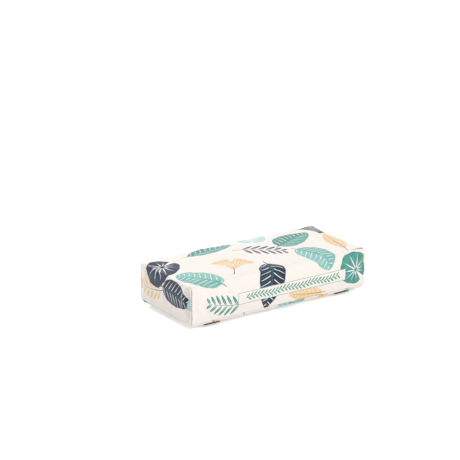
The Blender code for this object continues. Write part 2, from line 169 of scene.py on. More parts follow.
def setPoints(mesh, points):
    mesh.vertices.foreach_set("co", points.ravel())
    mesh.update()


def addModifier(piece, kind, **settings):
    modifier = piece.modifiers.new(kind.lower(), kind)
    for key, value in settings.items():
        setattr(modifier, key, value)
    return modifier


def ease(low, high, values):
    # 0 at low, 1 at high, level beyond them and a smooth step between
    t = np.clip((values - low) / (high - low), 0, 1)
    return t * t * (3 - 2 * t)


# The print: leaves of this script's own design, in the colours of the real cover's and about as large.

inks = {
    "cream": "#f7f0ea",
    "navy": "#30445a",
    "navyDark": "#1f2e3f",
    "tealDeep": "#40707a",
    "teal": "#5ca59b",
    "tealDark": "#478e85",
    "mint": "#93c9c2",
    "mintDark": "#78b4ad",
    "pale": "#cae5e1",
    "paleDark": "#add5d0",
    "ochre": "#f4d3a6",
    "ochreDark": "#ecc48f",
    "vein": "#f6f4ee",
    "stalk": "#5a5546",
    # painted shade for the corner seams and the dart, not a colour of the cloth or its thread
    "seam": "#b79f8c",
}
inkOrder = ["navy", "teal", "mint", "pale", "ochre"]
ribInks = ["tealDeep", "tealDark", "teal", "mintDark", "stalk"]
leafShapes = {
    # layer, half length in mm, half width as a share of it, and the numbers of the layer's formula
    "lance": ("blade", 47, 0.36, (0.80, -0.10, 4.5), (0.30, -0.04)),
    "oval": ("blade", 41, 0.64, (0.55, -0.14, 4.5), (0.36, -0.08)),
    "drop": ("blade", 43, 0.56, (0.62, -0.34, 4.5), (0.40, -0.11)),
    "fan": ("fan", 36, 1.0, (0.92, 0.26, 7.0), (0.0, 0.0)),
    "coin": ("coin", 33, 1.0, (1.75, -0.22, 0.0), (0.0, 0.0)),
    "sprig": ("sprig", 48, 0.5, (3.5, 0.92, 0.085), (0.38, 0.5)),
}
leaves = [
    # shape, ink, place along the cushion and across it in mm, turn in degrees, and size
    ("coin", "navy", -168, 26, 200, 1.05),
    ("lance", "teal", -52, 54, 8, 1.05),
    ("fan", "ochre", -62, -28, 62, 1.0),
    ("oval", "mint", -140, -50, 128, 1.0),
    ("sprig", "navy", 18, 0, -38, 0.95),
    ("coin", "pale", 40, 66, 60, 0.8),
    ("drop", "teal", 96, 22, 22, 1.05),
    ("lance", "ochre", 152, -20, 78, 0.9),
    ("drop", "navy", -22, -98, 258, 1.05),
    ("oval", "mint", 84, -62, 292, 1.0),
    ("sprig", "teal", -112, -116, 168, 0.8),
    ("coin", "teal", 148, -106, 130, 0.9),
    ("lance", "ochre", 50, -132, 172, 0.75),
    ("sprig", "ochre", -206, 38, 96, 0.8),
    ("drop", "navy", -202, -36, 262, 0.9),
    ("lance", "pale", -196, -92, 120, 0.8),
    ("fan", "navy", 160, 58, -18, 0.95),
    ("sprig", "mint", 204, -18, 84, 0.85),
    ("coin", "ochre", 222, 50, 60, 0.75),
    ("lance", "ochre", 177, -92, 84, 0.42),
    ("oval", "teal", -96, 116, 18, 0.9),
    ("drop", "navy", 16, 128, 190, 0.85),
    ("fan", "mint", 96, 104, -64, 0.95),
    ("sprig", "navy", -162, 108, 66, 0.7),
    ("oval", "ochre", 150, 122, 148, 0.75),
]


def nearestLeaf(put, flat, layer):
    # Of the leaves in a layer, the one whose own oval lies nearest, each reading the sheet in its own
    # units. Gives its place, its shape's three numbers, the two further ones and its ink's number.
    best = 9.0
    chosen = [(9, 9, 0), (1, 1, 1), (1, 1, 0)]
    for kind, ink, along, across, turn, size in leaves:
        group, half, width, numbers, further = leafShapes[kind]
        if group != layer:
            continue
        reach = half * size
        own = put("Mapping", {
            "Vector": flat, "Location": (along, across, 0),
            "Rotation": (0, 0, math.radians(turn)), "Scale": (reach, reach * width, 1),
        }, vector_type="TEXTURE")
        far = put("VectorMath", [own], operation="LENGTH").outputs["Value"]
        nearer = put("Math", [far, best], operation="LESS_THAN")
        best = put("Math", [far, best], operation="MINIMUM")
        inkNumber = (inkOrder.index(ink) + 0.5) / len(inkOrder)
        found = [own, numbers, (*further, inkNumber)]
        chosen = [
            put("Mix", {"Factor": nearer, "A": a, "B": b}, data_type="VECTOR")
            for a, b in zip(chosen, found)
        ]
    place, shape, more = chosen
    return place, *put("SeparateXYZ", [shape]).outputs, *put("SeparateXYZ", [more]).outputs


def paintLeaf(put, ground, number, tone, strokes, stalk, blade):
    # lays a leaf over the ground: its ink, darker by tone, its pale strokes and its dark stalk
    ramps = []
    for names in (inkOrder, [name + "Dark" for name in inkOrder], ribInks):
        ramp = put("ValToRGB", [number])
        ramp.color_ramp.interpolation = "CONSTANT"
        stops = ramp.color_ramp.elements
        while len(stops) < len(names):
            stops.new(1.0)
        for i, name in enumerate(names):
            stops[i].position = i / len(names)
            stops[i].color = linearColour(inks[name])
        ramps.append(ramp)
    plain, dark, rib = ramps
    ink = put("Mix", {"Factor": tone, "A": plain, "B": dark}, data_type="RGBA")
    ink = put("Mix", {"Factor": strokes, "A": ink, "B": linearColour(inks["vein"])}, data_type="RGBA")
    painted = put("Mix", {"Factor": blade, "A": ground, "B": ink}, data_type="RGBA")
    if stalk is None:
        return painted
    return put("Mix", {"Factor": stalk, "A": painted, "B": rib}, data_type="RGBA")


def uneven(put, place, scale, detail, low, high, span=(0.3, 0.7)):
    # wanders between low and high: a noise's usual span stretched over them
    noise = put("TexNoise", {"Vector": place, "Scale": scale, "Detail": detail})
    return put("MapRange", [noise, *span, low, high])


def raggedShare(put, place, share, scale, rag):
    # a share of the way to the leaf's edge, made uneven as a dry brush's ends are
    return put("Math", [share, uneven(put, place, scale, 2.0, -rag, rag)], operation="ADD")


def stroke(put, wide, away, soft):
    # 1 inside a stroke and 0 outside it, where wide is its half width and away the distance from it
    room = put("Math", [wide, away], operation="SUBTRACT")
    return put("MapRange", [room, 0.0, soft], interpolation_type="SMOOTHSTEP")


def endedAt(put, line, along, ends):
    # fades a line at its two ends, each from nothing to full between two places
    for nothing, full in ends:
        kept = put("MapRange", [along, nothing, full])
        line = put("Math", [line, kept], operation="MULTIPLY")
    return line


def offMiddle(put, row):
    # how far a row's number is from the middle of its cell: |fract(row) - 0.5|
    off = put("Math", [row], operation="FRACT")
    off = put("Math", [off, 0.5], operation="SUBTRACT")
    return put("Math", [off], operation="ABSOLUTE")


def bentRib(put, place, bend):
    # the place along a leaf, its arch 1 - a^2, the place across from a rib at -bend * arch, its size
    along, offset = put("SeparateXYZ", [place]).outputs[:2]
    arch = put("Math", [along, along], operation="MULTIPLY")
    arch = put("Math", [1.0, arch], operation="SUBTRACT")
    across = put("Math", [arch, bend, offset], operation="MULTIPLY_ADD")
    return along, arch, across, put("Math", [across], operation="ABSOLUTE")


def leafletWidth(put, share, wide):
    # a leaflet's half width, wide * (4 s (1 - s))^0.6, with s from 0 at the stem to 1 at its tip
    full = put("Math", [1.0, share], operation="SUBTRACT")
    full = put("Math", [full, share], operation="MULTIPLY")
    full = put("Math", [full, 4.0], operation="MULTIPLY")
    full = put("Math", [full, 0.0], operation="MAXIMUM")
    full = put("Math", [full, 0.6], operation="POWER")
    return put("Math", [full, wide], operation="MULTIPLY")


bladeLooks = {
    # in half lengths of the leaf
    "bend": -0.12,  # of the rib
    "edge": 0.025,  # softness of the outline
    "stagger": 0.18,  # of the veins beside the rib, in cells
    "vein": (0.024, 0.01),  # half width near the rib and near the edge
    "veinEnds": ((0.93, 0.84), (0.08, 0.18)),  # in shares of the way from the rib to the edge
    "sideTone": 0.3,  # how much darker one side is
    "rib": (0.05, 0.012),  # half width at the stalk and at the tip
    "ribEnds": ((-1.24, -1.22), (0.92, 0.82)),
}


def bladeLayer(put, flat, ground):
    # Outline: |b| = (1 - a^2)^fullness * (1 + lean * a), with a from the stalk to the tip and b across,
    # both from -1 to 1, and b measured from the bent rib.
    # Veins: a - slope * |b| - curl * b^2 = a whole number / count.
    place, fullness, lean, count, slope, curl, number = nearestLeaf(put, flat, "blade")
    along, arch, across, apart = bentRib(put, place, bladeLooks["bend"])
    outline = put("Math", [arch, 0.0], operation="MAXIMUM")
    outline = put("Math", [outline, fullness], operation="POWER")
    leaning = put("Math", [along, lean, 1.0], operation="MULTIPLY_ADD")
    leaning = put("Math", [leaning, uneven(put, place, 2.0, 1.0, 0.95, 1.05)], operation="MULTIPLY")
    outline = put("Math", [outline, leaning], operation="MULTIPLY")
    blade = stroke(put, outline, apart, bladeLooks["edge"])
    share = put("Math", [apart, outline], operation="DIVIDE", use_clamp=True)
    row = put("Math", [apart, curl, slope], operation="MULTIPLY_ADD")
    row = put("Math", [row, apart], operation="MULTIPLY")
    row = put("Math", [along, row], operation="SUBTRACT")
    side = put("Math", [across], operation="SIGN")
    stagger = put("Math", [side, bladeLooks["stagger"]], operation="MULTIPLY")
    row = put("Math", [row, count, stagger], operation="MULTIPLY_ADD")
    off = put("Math", [offMiddle(put, row), count], operation="DIVIDE")
    reach = raggedShare(put, place, share, 2.2, 0.09)
    thick = put("MapRange", [reach, 0.3, 0.9, *bladeLooks["vein"]])
    thick = endedAt(put, thick, reach, bladeLooks["veinEnds"])
    strokes = stroke(put, thick, off, 0.008)
    lane = put("CombineXYZ", [row, share, 0.0])
    tone = uneven(put, lane, 1.5, 3.0, 0.0, 1.0, span=(0.38, 0.66))
    tone = put("Math", [side, bladeLooks["sideTone"], tone], operation="MULTIPLY_ADD")
    ribWide = put("MapRange", [along, -1.25, 0.95, *bladeLooks["rib"]])
    rib = endedAt(put, stroke(put, ribWide, apart, 0.02), along, bladeLooks["ribEnds"])
    return paintLeaf(put, ground, number, tone, strokes, rib, blade)


fanLooks = {
    # in radii of the fan, from the end of its stalk
    "behind": 0.75,  # the stalk's end lies this far behind the leaf's place, in half lengths
    "toRadii": 0.667,  # from half lengths
    "edge": 0.014,
    "scallops": (9.0, 0.025),  # how close along the rim, and how deep
    "notchHalf": 0.12,  # in radians
    "flank": 0.45,  # the share of its spread that the fan has at the stalk
    "vein": 0.017,
    "veinEnds": ((0.25, 0.5), (0.9, 0.7)),  # in shares of the way to the rim
    "stalk": (0.02, 0.01),
    "stalkBend": -0.5,
    "stalkEnds": ((-0.3, -0.28), (0.3, 0.15)),
}


def fanLayer(put, flat, ground):
    # Outline: r = 1 - notch near the middle line, less towards the flanks, for angles up to spread,
    # with r measured from the end of the stalk. Veins: rays at each whole number / count.
    place, spread, notch, count, *_, number = nearestLeaf(put, flat, "fan")
    fromStalk = put("VectorMath", [place, (fanLooks["behind"], 0, 0)], operation="ADD")
    toRadii = fanLooks["toRadii"]
    fromStalk = put("VectorMath", [fromStalk, (toRadii, toRadii, 0)], operation="MULTIPLY")
    radius = put("VectorMath", [fromStalk], operation="LENGTH").outputs["Value"]
    along, across = put("SeparateXYZ", [fromStalk]).outputs[:2]
    angle = put("Math", [across, along], operation="ARCTAN2")
    wide = put("Math", [angle], operation="ABSOLUTE")
    close, deep = fanLooks["scallops"]
    scallop = put("Math", [angle, close], operation="MULTIPLY")
    scallop = put("Math", [scallop], operation="COSINE")
    rim = put("Math", [scallop, deep, uneven(put, place, 2.2, 1.0, 0.95, 1.05)], operation="MULTIPLY_ADD")
    opened = put("MapRange", [wide, 0.0, fanLooks["notchHalf"], 1.0, 0.0], interpolation_type="SMOOTHSTEP")
    opened = put("Math", [opened, notch], operation="MULTIPLY")
    rim = put("Math", [rim, opened], operation="SUBTRACT")
    fall = put("MapRange", [wide, 0.95, 0.4, 0.86, 1.0])
    rim = put("Math", [rim, fall], operation="MULTIPLY")
    top = stroke(put, rim, radius, fanLooks["edge"])
    flank = put("MapRange", [radius, 0.0, 1.0, fanLooks["flank"], 1.0])
    flank = put("Math", [flank, spread], operation="MULTIPLY")
    flank = put("Math", [flank, wide], operation="SUBTRACT")
    flank = put("Math", [flank, radius], operation="MULTIPLY")
    flank = put("MapRange", [flank, 0.0, fanLooks["edge"]], interpolation_type="SMOOTHSTEP")
    blade = put("Math", [top, flank], operation="MULTIPLY")
    row = put("Math", [angle, count, 0.5], operation="MULTIPLY_ADD")
    off = put("Math", [offMiddle(put, row), count], operation="DIVIDE")
    off = put("Math", [off, radius], operation="MULTIPLY")
    share = put("Math", [radius, rim], operation="DIVIDE", use_clamp=True)
    reach = raggedShare(put, place, share, 7.0, 0.14)
    thick = endedAt(put, fanLooks["vein"], reach, fanLooks["veinEnds"])
    strokes = stroke(put, thick, off, 0.007)
    lane = put("CombineXYZ", [angle, radius, 0.0])
    lane = put("VectorMath", [lane, (7.0, 1.3, 1.0)], operation="MULTIPLY")
    tone = uneven(put, lane, 1.3, 3.0, 0.0, 1.0, span=(0.38, 0.66))
    bent = put("Math", [along, along], operation="MULTIPLY")
    bent = put("Math", [bent, fanLooks["stalkBend"], across], operation="MULTIPLY_ADD")
    bent = put("Math", [bent], operation="ABSOLUTE")
    stalkWide = put("MapRange", [along, -0.3, 0.25, *fanLooks["stalk"]])
    stalk = endedAt(put, stroke(put, stalkWide, bent, 0.008), along, fanLooks["stalkEnds"])
    return paintLeaf(put, ground, number, tone, strokes, stalk, blade)


coinLooks = {
    # in radii of the leaf
    "rim": (0.92, 1.04),  # between which it wavers
    "edge": 0.016,
    "notch": (-0.02, 0.14),  # half width at the hub and 0.75 behind it
    "vein": (0.036, 0.0),  # half width near the hub and at its end
}


def coinLayer(put, flat, ground):
    # Outline: r = 1, wavering, with a notch that opens backwards from the hub. Veins: rays from the hub.
    place, count, hub, *_, number = nearestLeaf(put, flat, "coin")
    radius = put("VectorMath", [place], operation="LENGTH").outputs["Value"]
    along, across = put("SeparateXYZ", [place]).outputs[:2]
    rim = uneven(put, place, 1.6, 1.0, *coinLooks["rim"])
    blade = stroke(put, rim, radius, coinLooks["edge"])
    fromHub = put("Math", [along, hub], operation="SUBTRACT")
    angle = put("Math", [across, fromHub], operation="ARCTAN2")
    hubPlace = put("CombineXYZ", [fromHub, across, 0.0])
    hubRadius = put("VectorMath", [hubPlace], operation="LENGTH").outputs["Value"]
    aside = put("Math", [across], operation="ABSOLUTE")
    opened = put("MapRange", [fromHub, 0.0, -0.75, *coinLooks["notch"]])
    gap = stroke(put, aside, opened, coinLooks["edge"])
    blade = put("Math", [blade, gap], operation="MULTIPLY")
    row = put("Math", [angle, count], operation="MULTIPLY")
    off = put("Math", [offMiddle(put, row), count], operation="DIVIDE")
    off = put("Math", [off, hubRadius], operation="MULTIPLY")
    reach = raggedShare(put, place, radius, 6.0, 0.1)
    shrunk = put("MapRange", [reach, 0.35, 0.88, *coinLooks["vein"]])
    grown = put("MapRange", [hubRadius, 0.06, 0.18])
    thick = put("Math", [shrunk, grown], operation="MULTIPLY")
    strokes = stroke(put, thick, off, 0.01)
    lane = put("CombineXYZ", [angle, hubRadius, 0.0])
    tone = uneven(put, lane, 2.4, 3.0, 0.0, 1.0, span=(0.36, 0.66))
    return paintLeaf(put, ground, number, tone, strokes, None, blade)


sprigLooks = {
    # in half lengths of the sprig
    "bend": -0.22,  # of the stem
    "stagger": 0.12,  # of the leaflets beside the stem, in cells
    "last": 0.97,  # no leaflet grows further along than this
    "lowest": -0.3,  # where the leaflets are longest
    "edge": 0.012,
    "vein": 0.014,
    "stem": (0.045, 0.015),  # half width at its two ends
    "stemEnds": ((-1.12, -1.1), (0.96, 0.86)),
}


def sprigLayer(put, flat, ground):
    # Pairs of leaflets on a bent stem. A leaflet is the lens |off| = width * (4 s (1 - s))^0.6 of its
    # slanted row, s from 0 at the stem to 1 at its tip, with a length of longest * (1 - taper * d^2),
    # d the distance along from where they are longest.
    place, pairs, longest, width, slope, taper, number = nearestLeaf(put, flat, "sprig")
    along, _, across, apart = bentRib(put, place, sprigLooks["bend"])
    row = put("Math", [apart, slope], operation="MULTIPLY")
    row = put("Math", [along, row], operation="SUBTRACT")
    side = put("Math", [across], operation="SIGN")
    stagger = put("Math", [side, sprigLooks["stagger"]], operation="MULTIPLY")
    row = put("Math", [row, pairs, stagger], operation="MULTIPLY_ADD")
    off = put("Math", [offMiddle(put, row), pairs], operation="DIVIDE")
    rank = put("Math", [row], operation="FLOOR")
    rank = put("Math", [rank, 0.5], operation="ADD")
    rank = put("Math", [rank, pairs], operation="DIVIDE")
    kept = put("Math", [rank], operation="ABSOLUTE")
    kept = put("Math", [kept, sprigLooks["last"]], operation="LESS_THAN")
    shift = put("Math", [rank, sprigLooks["lowest"]], operation="SUBTRACT")
    shift = put("Math", [shift, shift], operation="MULTIPLY")
    shift = put("Math", [shift, taper], operation="MULTIPLY")
    length = put("Math", [1.0, shift], operation="SUBTRACT")
    length = put("Math", [length, longest], operation="MULTIPLY")
    share = put("Math", [apart, length], operation="DIVIDE")
    blade = stroke(put, leafletWidth(put, share, width), off, sprigLooks["edge"])
    blade = put("Math", [blade, kept], operation="MULTIPLY")
    line = put("MapRange", [share, 0.2, 0.75, sprigLooks["vein"], 0.0])
    strokes = stroke(put, line, off, 0.007)
    tone = uneven(put, place, 4.0, 2.0, 0.0, 1.0, span=(0.38, 0.64))
    stemWide = put("MapRange", [along, -1.2, 1.0, *sprigLooks["stem"]])
    stem = endedAt(put, stroke(put, stemWide, apart, 0.02), along, sprigLooks["stemEnds"])
    return paintLeaf(put, ground, number, tone, strokes, stem, blade)


label = {
    # the framed strip on the long side, in mm on the sheet
    "middle": (22.5, -114.75, 0),
    "halfLength": 108.5,
    "halfWidth": 10.25,
    "corner": 2.5,
    "line": 0.9,
    "soft": 0.25,  # softness of the frame's edges
    "lineInk": "#8fb8a4",
    "garlandInk": "#58a195",
    "sway": (0.11, 1.3),  # of the garland's stem: radians for each mm along, and mm to a side
    "stem": (0.5, 0.3),  # half width, with its soft edge and without
    "slant": 0.9,  # how far a leaflet leans along for each mm across
    "stagger": 0.25,  # in cells
    "leafletPitch": 7.2,
    "leafletLength": 6.4,
    "leafletHalf": 1.9152,
    "endsAt": 1.6,  # cells left empty at each end
}


def labelLayer(put, flat, ground):
    # A rounded box, by its distance field |max(|p| - half + corner, 0)| - corner, filled, outlined and
    # holding a garland of leaflets on a swaying stem.
    own = put("VectorMath", [flat, label["middle"]], operation="SUBTRACT")
    folded = put("VectorMath", [own], operation="ABSOLUTE")
    core = (label["halfLength"] - label["corner"], label["halfWidth"] - label["corner"], 1)
    folded = put("VectorMath", [folded, core], operation="SUBTRACT")
    folded = put("VectorMath", [folded, (0, 0, 0)], operation="MAXIMUM")
    outside = put("VectorMath", [folded], operation="LENGTH").outputs["Value"]
    frameEdge, innerEdge = label["corner"], label["corner"] - label["line"]
    filled = put("MapRange", [outside, frameEdge, frameEdge - label["soft"]])
    inner = put("MapRange", [outside, innerEdge, innerEdge - label["soft"]])
    along, offset = put("SeparateXYZ", [own]).outputs[:2]
    turn, aside = label["sway"]
    sway = put("Math", [along, turn], operation="MULTIPLY")
    sway = put("Math", [sway], operation="SINE")
    across = put("Math", [sway, aside, offset], operation="MULTIPLY_ADD")
    apart = put("Math", [across], operation="ABSOLUTE")
    side = put("Math", [across], operation="SIGN")
    row = put("Math", [apart, -label["slant"], along], operation="MULTIPLY_ADD")
    row = put("Math", [row, 1 / label["leafletPitch"]], operation="MULTIPLY")
    row = put("Math", [side, label["stagger"], row], operation="MULTIPLY_ADD")
    off = put("Math", [offMiddle(put, row), label["leafletPitch"]], operation="MULTIPLY")
    share = put("Math", [apart, 1 / label["leafletLength"]], operation="MULTIPLY")
    leaflet = stroke(put, leafletWidth(put, share, label["leafletHalf"]), off, 0.3)
    stem = put("MapRange", [apart, *label["stem"]])
    drawn = put("Math", [leaflet, stem], operation="MAXIMUM")
    rank = put("Math", [row], operation="FLOOR")
    rank = put("Math", [rank, 0.5], operation="ADD")
    rank = put("Math", [rank], operation="ABSOLUTE")
    last = label["halfLength"] / label["leafletPitch"] - label["endsAt"]
    kept = put("Math", [rank, last], operation="LESS_THAN")
    drawn = put("Math", [drawn, kept], operation="MULTIPLY")
    cream, garland = linearColour(inks["cream"]), linearColour(label["garlandInk"])
    inside = put("Mix", {"Factor": drawn, "A": cream, "B": garland}, data_type="RGBA")
    framed = put("Mix", {"Factor": inner, "A": linearColour(label["lineInk"]), "B": inside}, data_type="RGBA")
    return put("Mix", {"Factor": filled, "A": ground, "B": framed}, data_type="RGBA")


seamShade = {
    # painted shade along the corner seams and the rear left corner's dart, in mm on the sheet
    "seam": (-1.3, -0.3, 0.0, 0.75),  # from a corner seam: where the shade begins and is full, and its share
    "dartFrom": 3.9,  # the dart's start, from the long edge at the rear corner
    "dartTurn": 170.2,  # in degrees
    "dartHalf": (32.0, 0.0, 0.1, 2.4),  # its length, and its half width there and at the corner
    "dart": (0.0, 0.8, 0.0, 0.85),
}


def paintSeamAndDartShade(put, flat):
    # painted shade, not the cloth's own colour: the seam ink darkens the cloth along the corner seams, where
    # the turned edges shade the groove, and along the rear left corner's dart, a fold that shades itself,
    # most at the corner
    edges = (body["halfLength"] / mm, body["halfWidth"] / mm, 0)
    beyond = put("VectorMath", [flat], operation="ABSOLUTE")
    beyond = put("VectorMath", [beyond, edges], operation="SUBTRACT")
    beyondX, beyondY = put("SeparateXYZ", [beyond]).outputs[:2]
    fromSeam = put("Math", [beyondX, beyondY], operation="MINIMUM")
    shaded = put("MapRange", [fromSeam, *seamShade["seam"]])
    dart = put("Mapping", {
        "Vector": flat, "Location": (edges[0], seamShade["dartFrom"] - edges[1], 0),
        "Rotation": (0, 0, math.radians(seamShade["dartTurn"])),
    }, vector_type="TEXTURE")
    along, across = put("SeparateXYZ", [dart]).outputs[:2]
    aside = put("Math", [across], operation="ABSOLUTE")
    wide = put("MapRange", [along, *seamShade["dartHalf"]])
    spare = put("Math", [wide, aside], operation="SUBTRACT")
    fold = put("MapRange", [spare, *seamShade["dart"]])
    begun = put("Math", [along, -1.0], operation="GREATER_THAN")
    fold = put("Math", [fold, begun], operation="MULTIPLY")
    return put("Math", [shaded, fold], operation="MAXIMUM")


def coatedCanvas(name, shift, withLabel):
    # Polyester canvas, printed and then given a clear polyurethane coat: satin, with the weave just
    # showing through. The sheet's map is in metres, and shift moves the print over it in mm.
    material, put, wire = newMaterial(
        name, IOR=1.45, Specular_IOR_Level=0.2, Coat_Weight=0.18, Coat_Roughness=0.24, Coat_IOR=1.5)
    sheet = put("UVMap", uv_map="sheet")
    flat = put("VectorMath", [sheet, (1000, 1000, 0)], operation="MULTIPLY")
    moved = put("VectorMath", [flat, shift], operation="ADD") if any(shift) else flat
    colour = linearColour(inks["cream"])
    for layer in (fanLayer, sprigLayer, coinLayer, bladeLayer):
        colour = layer(put, moved, colour)
    if withLabel:
        colour = labelLayer(put, flat, colour)
        # painted shade: the corner seams and the dart are darkened towards the seam shade ink
        shaded, seamInk = paintSeamAndDartShade(put, flat), linearColour(inks["seam"])
        colour = put("Mix", {"Factor": shaded, "A": colour, "B": seamInk}, data_type="RGBA")
    wire(Base_Color=colour)
    threadPitch = 1.1  # threads every 0.35 mm are too fine to show, so they are drawn 1.1 mm apart
    turns = 2 * math.pi / threadPitch
    threads = put("VectorMath", [flat, (turns, turns, 0)], operation="MULTIPLY")
    threads = put("VectorMath", [threads], operation="SINE")
    warp, weft = put("SeparateXYZ", [threads]).outputs[:2]
    weave = put("Math", [warp, weft], operation="MULTIPLY")
    slub = put("TexNoise", {"Vector": flat, "Scale": 0.5, "Detail": 3.0})
    weave = put("Math", [weave, 0.3, slub], operation="MULTIPLY_ADD")
    wire(Normal=put("Bump", {"Height": weave, "Distance": 0.06 * mm}))
    wire(Roughness=uneven(put, flat, 0.03, 3.0, 0.36, 0.48))
    return material


# The cover: one sheet, the seat face folded down into four sides, sewn up the four corners.

endRows = np.array([0, 1, 2.2, 3.6, 5.2, 7, 9, 11.5, 15]) * mm  # close together where the sheet bends


def unfoldedBox(halfLength, halfWidth, across, drops, closed=False):
    # Flat patches of a sheet: the seat, a side folded down from each of its edges, and a floor where it
    # is closed. Gives each point on the sharp box as x, y and minus its drop, its place on the sheet,
    # and faces that point outwards.
    ends = halfLength - endRows
    along = np.concatenate([-ends, np.linspace(-ends[-1], ends[-1], 81)[1:-1], ends[::-1]])
    sharp, sheet, faces = [], [], []
    start = 0
    for axis, side in ((None, 0), (1, -1), (1, 1), (0, -1), (0, 1), (None, 1))[: 5 + closed]:
        if axis is None:
            u, v = np.meshgrid(along, across, indexing="ij")
            box, flat = (u, v, 0 * u - side * drops[-1]), (u, v)
        elif axis == 1:
            u, drop = np.meshgrid(along, drops, indexing="ij")
            edge = side * halfWidth
            box, flat = (u, 0 * u + edge, -drop), (u, edge + side * drop)
        else:
            u, drop = np.meshgrid(across, drops, indexing="ij")
            edge = side * halfLength
            box, flat = (0 * u + edge, u, -drop), (edge + side * drop, u)
        cells = gridFaces(*u.shape) + start
        outwards = (axis == 1 and side < 0) or (axis != 1 and side > 0)
        faces.append(cells if outwards else cells[:, ::-1])
        sharp.append(np.stack(box, -1).reshape(-1, 3))
        sheet.append(np.stack(flat, -1).reshape(-1, 2))
        start += u.size
    sharp, sheet, faces = np.concatenate(sharp), np.concatenate(sheet), np.concatenate(faces)
    kept, place = np.unique(np.round(sharp, 7), axis=0, return_inverse=True)
    return kept, place.reshape(-1)[faces], sheet[faces]


def roundedBox(sharp, halfLength, halfWidth, upright, level, depth=1.0):
    # Each point goes from the nearest point q of a smaller box to q + radii * d / |d|, d its offset over
    # the radii: upright is the corners' radius in plan, level that of the seat's edges and of those at
    # the depth below it.
    inner = np.array([halfLength - upright, halfWidth - upright, 0])
    q = np.clip(sharp, -inner, inner)
    q[:, 2] = np.clip(sharp[:, 2], level - depth, -level)
    radii = np.array([upright, upright, level])
    d = (sharp - q) / radii
    return q + radii * d / np.linalg.norm(d, axis=1, keepdims=True)


cover = {
    "upright": 4.8 * mm,  # radius of the sewn corners in plan
    "level": 10.5 * mm,  # radius of the seat's edges
    "crown": 2.6 * mm,
    "bulge": 1.2 * mm,
    "slotHalf": 66 * mm,
    "slot": (30.3 * mm, 39.7 * mm),  # from the seat down to the zip slot's two edges
    "cap": 1.5 * mm,  # how far a fold of the simulated cloth may stand out
    "groove": 1.75 * mm,  # depth of the corner seams
    "valley": 2.6 * mm,  # depth of the soft creases beside them
    "pucker": 0.45 * mm,
    "waver": 0.6 * mm,
    "hemDip": 0.55 * mm,
    "hemTuck": 0.18 * mm,
    "slotDip": 0.2 * mm,
}
coverDepth = body["seat"] - body["hem"]
clothRules = {
    "quality": 6,
    "mass": 0.25,
    "tension_stiffness": 14,
    "compression_stiffness": 14,
    "shear_stiffness": 6,
    "bending_stiffness": 0.4,
    "use_pressure": True,
    "uniform_pressure_force": 4.0,
    "vertex_group_mass": "held",
    "pin_stiffness": 1.0,
    "shrink_min": -0.02,  # the sheet is cut this share larger than the foam
}
creases = (
    # soft creases down beside the corner seams: the corner's sides, the face, the distance from the
    # corner and the width in mm, the height of its middle and its half height, its share of the depth
    (-1, -1, "end", 8, 4.2, 34, 27, 1.0),
    (-1, -1, "end", 19, 6.0, 26, 24, -0.45),
    (-1, -1, "side", 9, 4.0, 40, 20, 0.35),
    (1, -1, "side", 8, 3.4, 24, 20, 0.5),
    (-1, 1, "end", 8, 3.6, 34, 20, 0.6),
    (-1, 1, "side", 9, 3.6, 30, 22, 0.5),
    (1, 1, "side", 7.5, 3.4, 36, 24, 0.7),
    (1, 1, "side", 14, 3.6, 30, 18, -0.3),
)
darts = (
    # short darts in from the seat's corners: the corner's sides, reach, lean and depth in mm.
    # The first, the rear one on the left, ends in a dog-ear.
    (1, -1, 36, 7, 3.2),
    (-1, -1, 15, 5, 0.7),
    (1, 1, 18, 6, 0.9),
    (-1, 1, 16, 5, 0.8),
)


def coverPoints(sharp):
    # the rounded box, with the seat raised by crown * (1 - x^4)(1 - y^2) and each side but the rear
    # by bulge * (1 - u^4)(1 - v^2)
    points = roundedBox(sharp, body["halfLength"], body["halfWidth"], cover["upright"], cover["level"])
    x, y = sharp[:, 0] / body["halfLength"], sharp[:, 1] / body["halfWidth"]
    v = 2 * sharp[:, 2] / coverDepth + 1
    seat = ease(-cover["level"], 0, points[:, 2])
    points[:, 2] += cover["crown"] * (1 - x**4) * (1 - y**2) * seat
    swell = cover["bulge"] * (1 - v**2)
    points[:, 1] += np.sign(y) * swell * (1 - x**4) * ease(0.94, 1.0, np.abs(y))
    points[:, 0] -= swell * (1 - y**4) * ease(0.975, 1.0, -x)
    points[:, 2] += body["seat"]
    return points


def clothSwell(piece, held, frames=20):
    # blows the sheet up a little against its held places, and gives the cloth's own points
    group = piece.vertex_groups.new(name="held")
    for i, weight in enumerate(held):
        group.add([i], float(weight), "REPLACE")
    cloth = addModifier(piece, "CLOTH")
    for key, value in clothRules.items():
        setattr(cloth.settings, key, value)
    cloth.settings.effector_weights.gravity = 0
    cloth.collision_settings.use_collision = False
    cloth.collision_settings.use_self_collision = False
    cloth.point_cache.frame_start, cloth.point_cache.frame_end = 1, frames
    for step in range(1, frames + 1):
        bpy.context.scene.frame_set(step)
    graph = bpy.context.evaluated_depsgraph_get()
    swollen = readPoints(piece.evaluated_get(graph).data.vertices, "co")
    piece.modifiers.remove(cloth)
    piece.vertex_groups.remove(group)
    bpy.context.scene.frame_set(1)
    return swollen


def smoothedOver(mesh, values, rounds):
    # each round moves every point's value half way to the mean of its neighbours'
    ends = np.empty(len(mesh.edges) * 2, int)
    mesh.edges.foreach_get("vertices", ends)
    a, b = ends[0::2], ends[1::2]
    count = len(mesh.vertices)
    shared = np.bincount(a, minlength=count) + np.bincount(b, minlength=count)
    for _ in range(rounds):
        total = np.bincount(a, values[b], count) + np.bincount(b, values[a], count)
        values = (values + total / shared) / 2
    return values


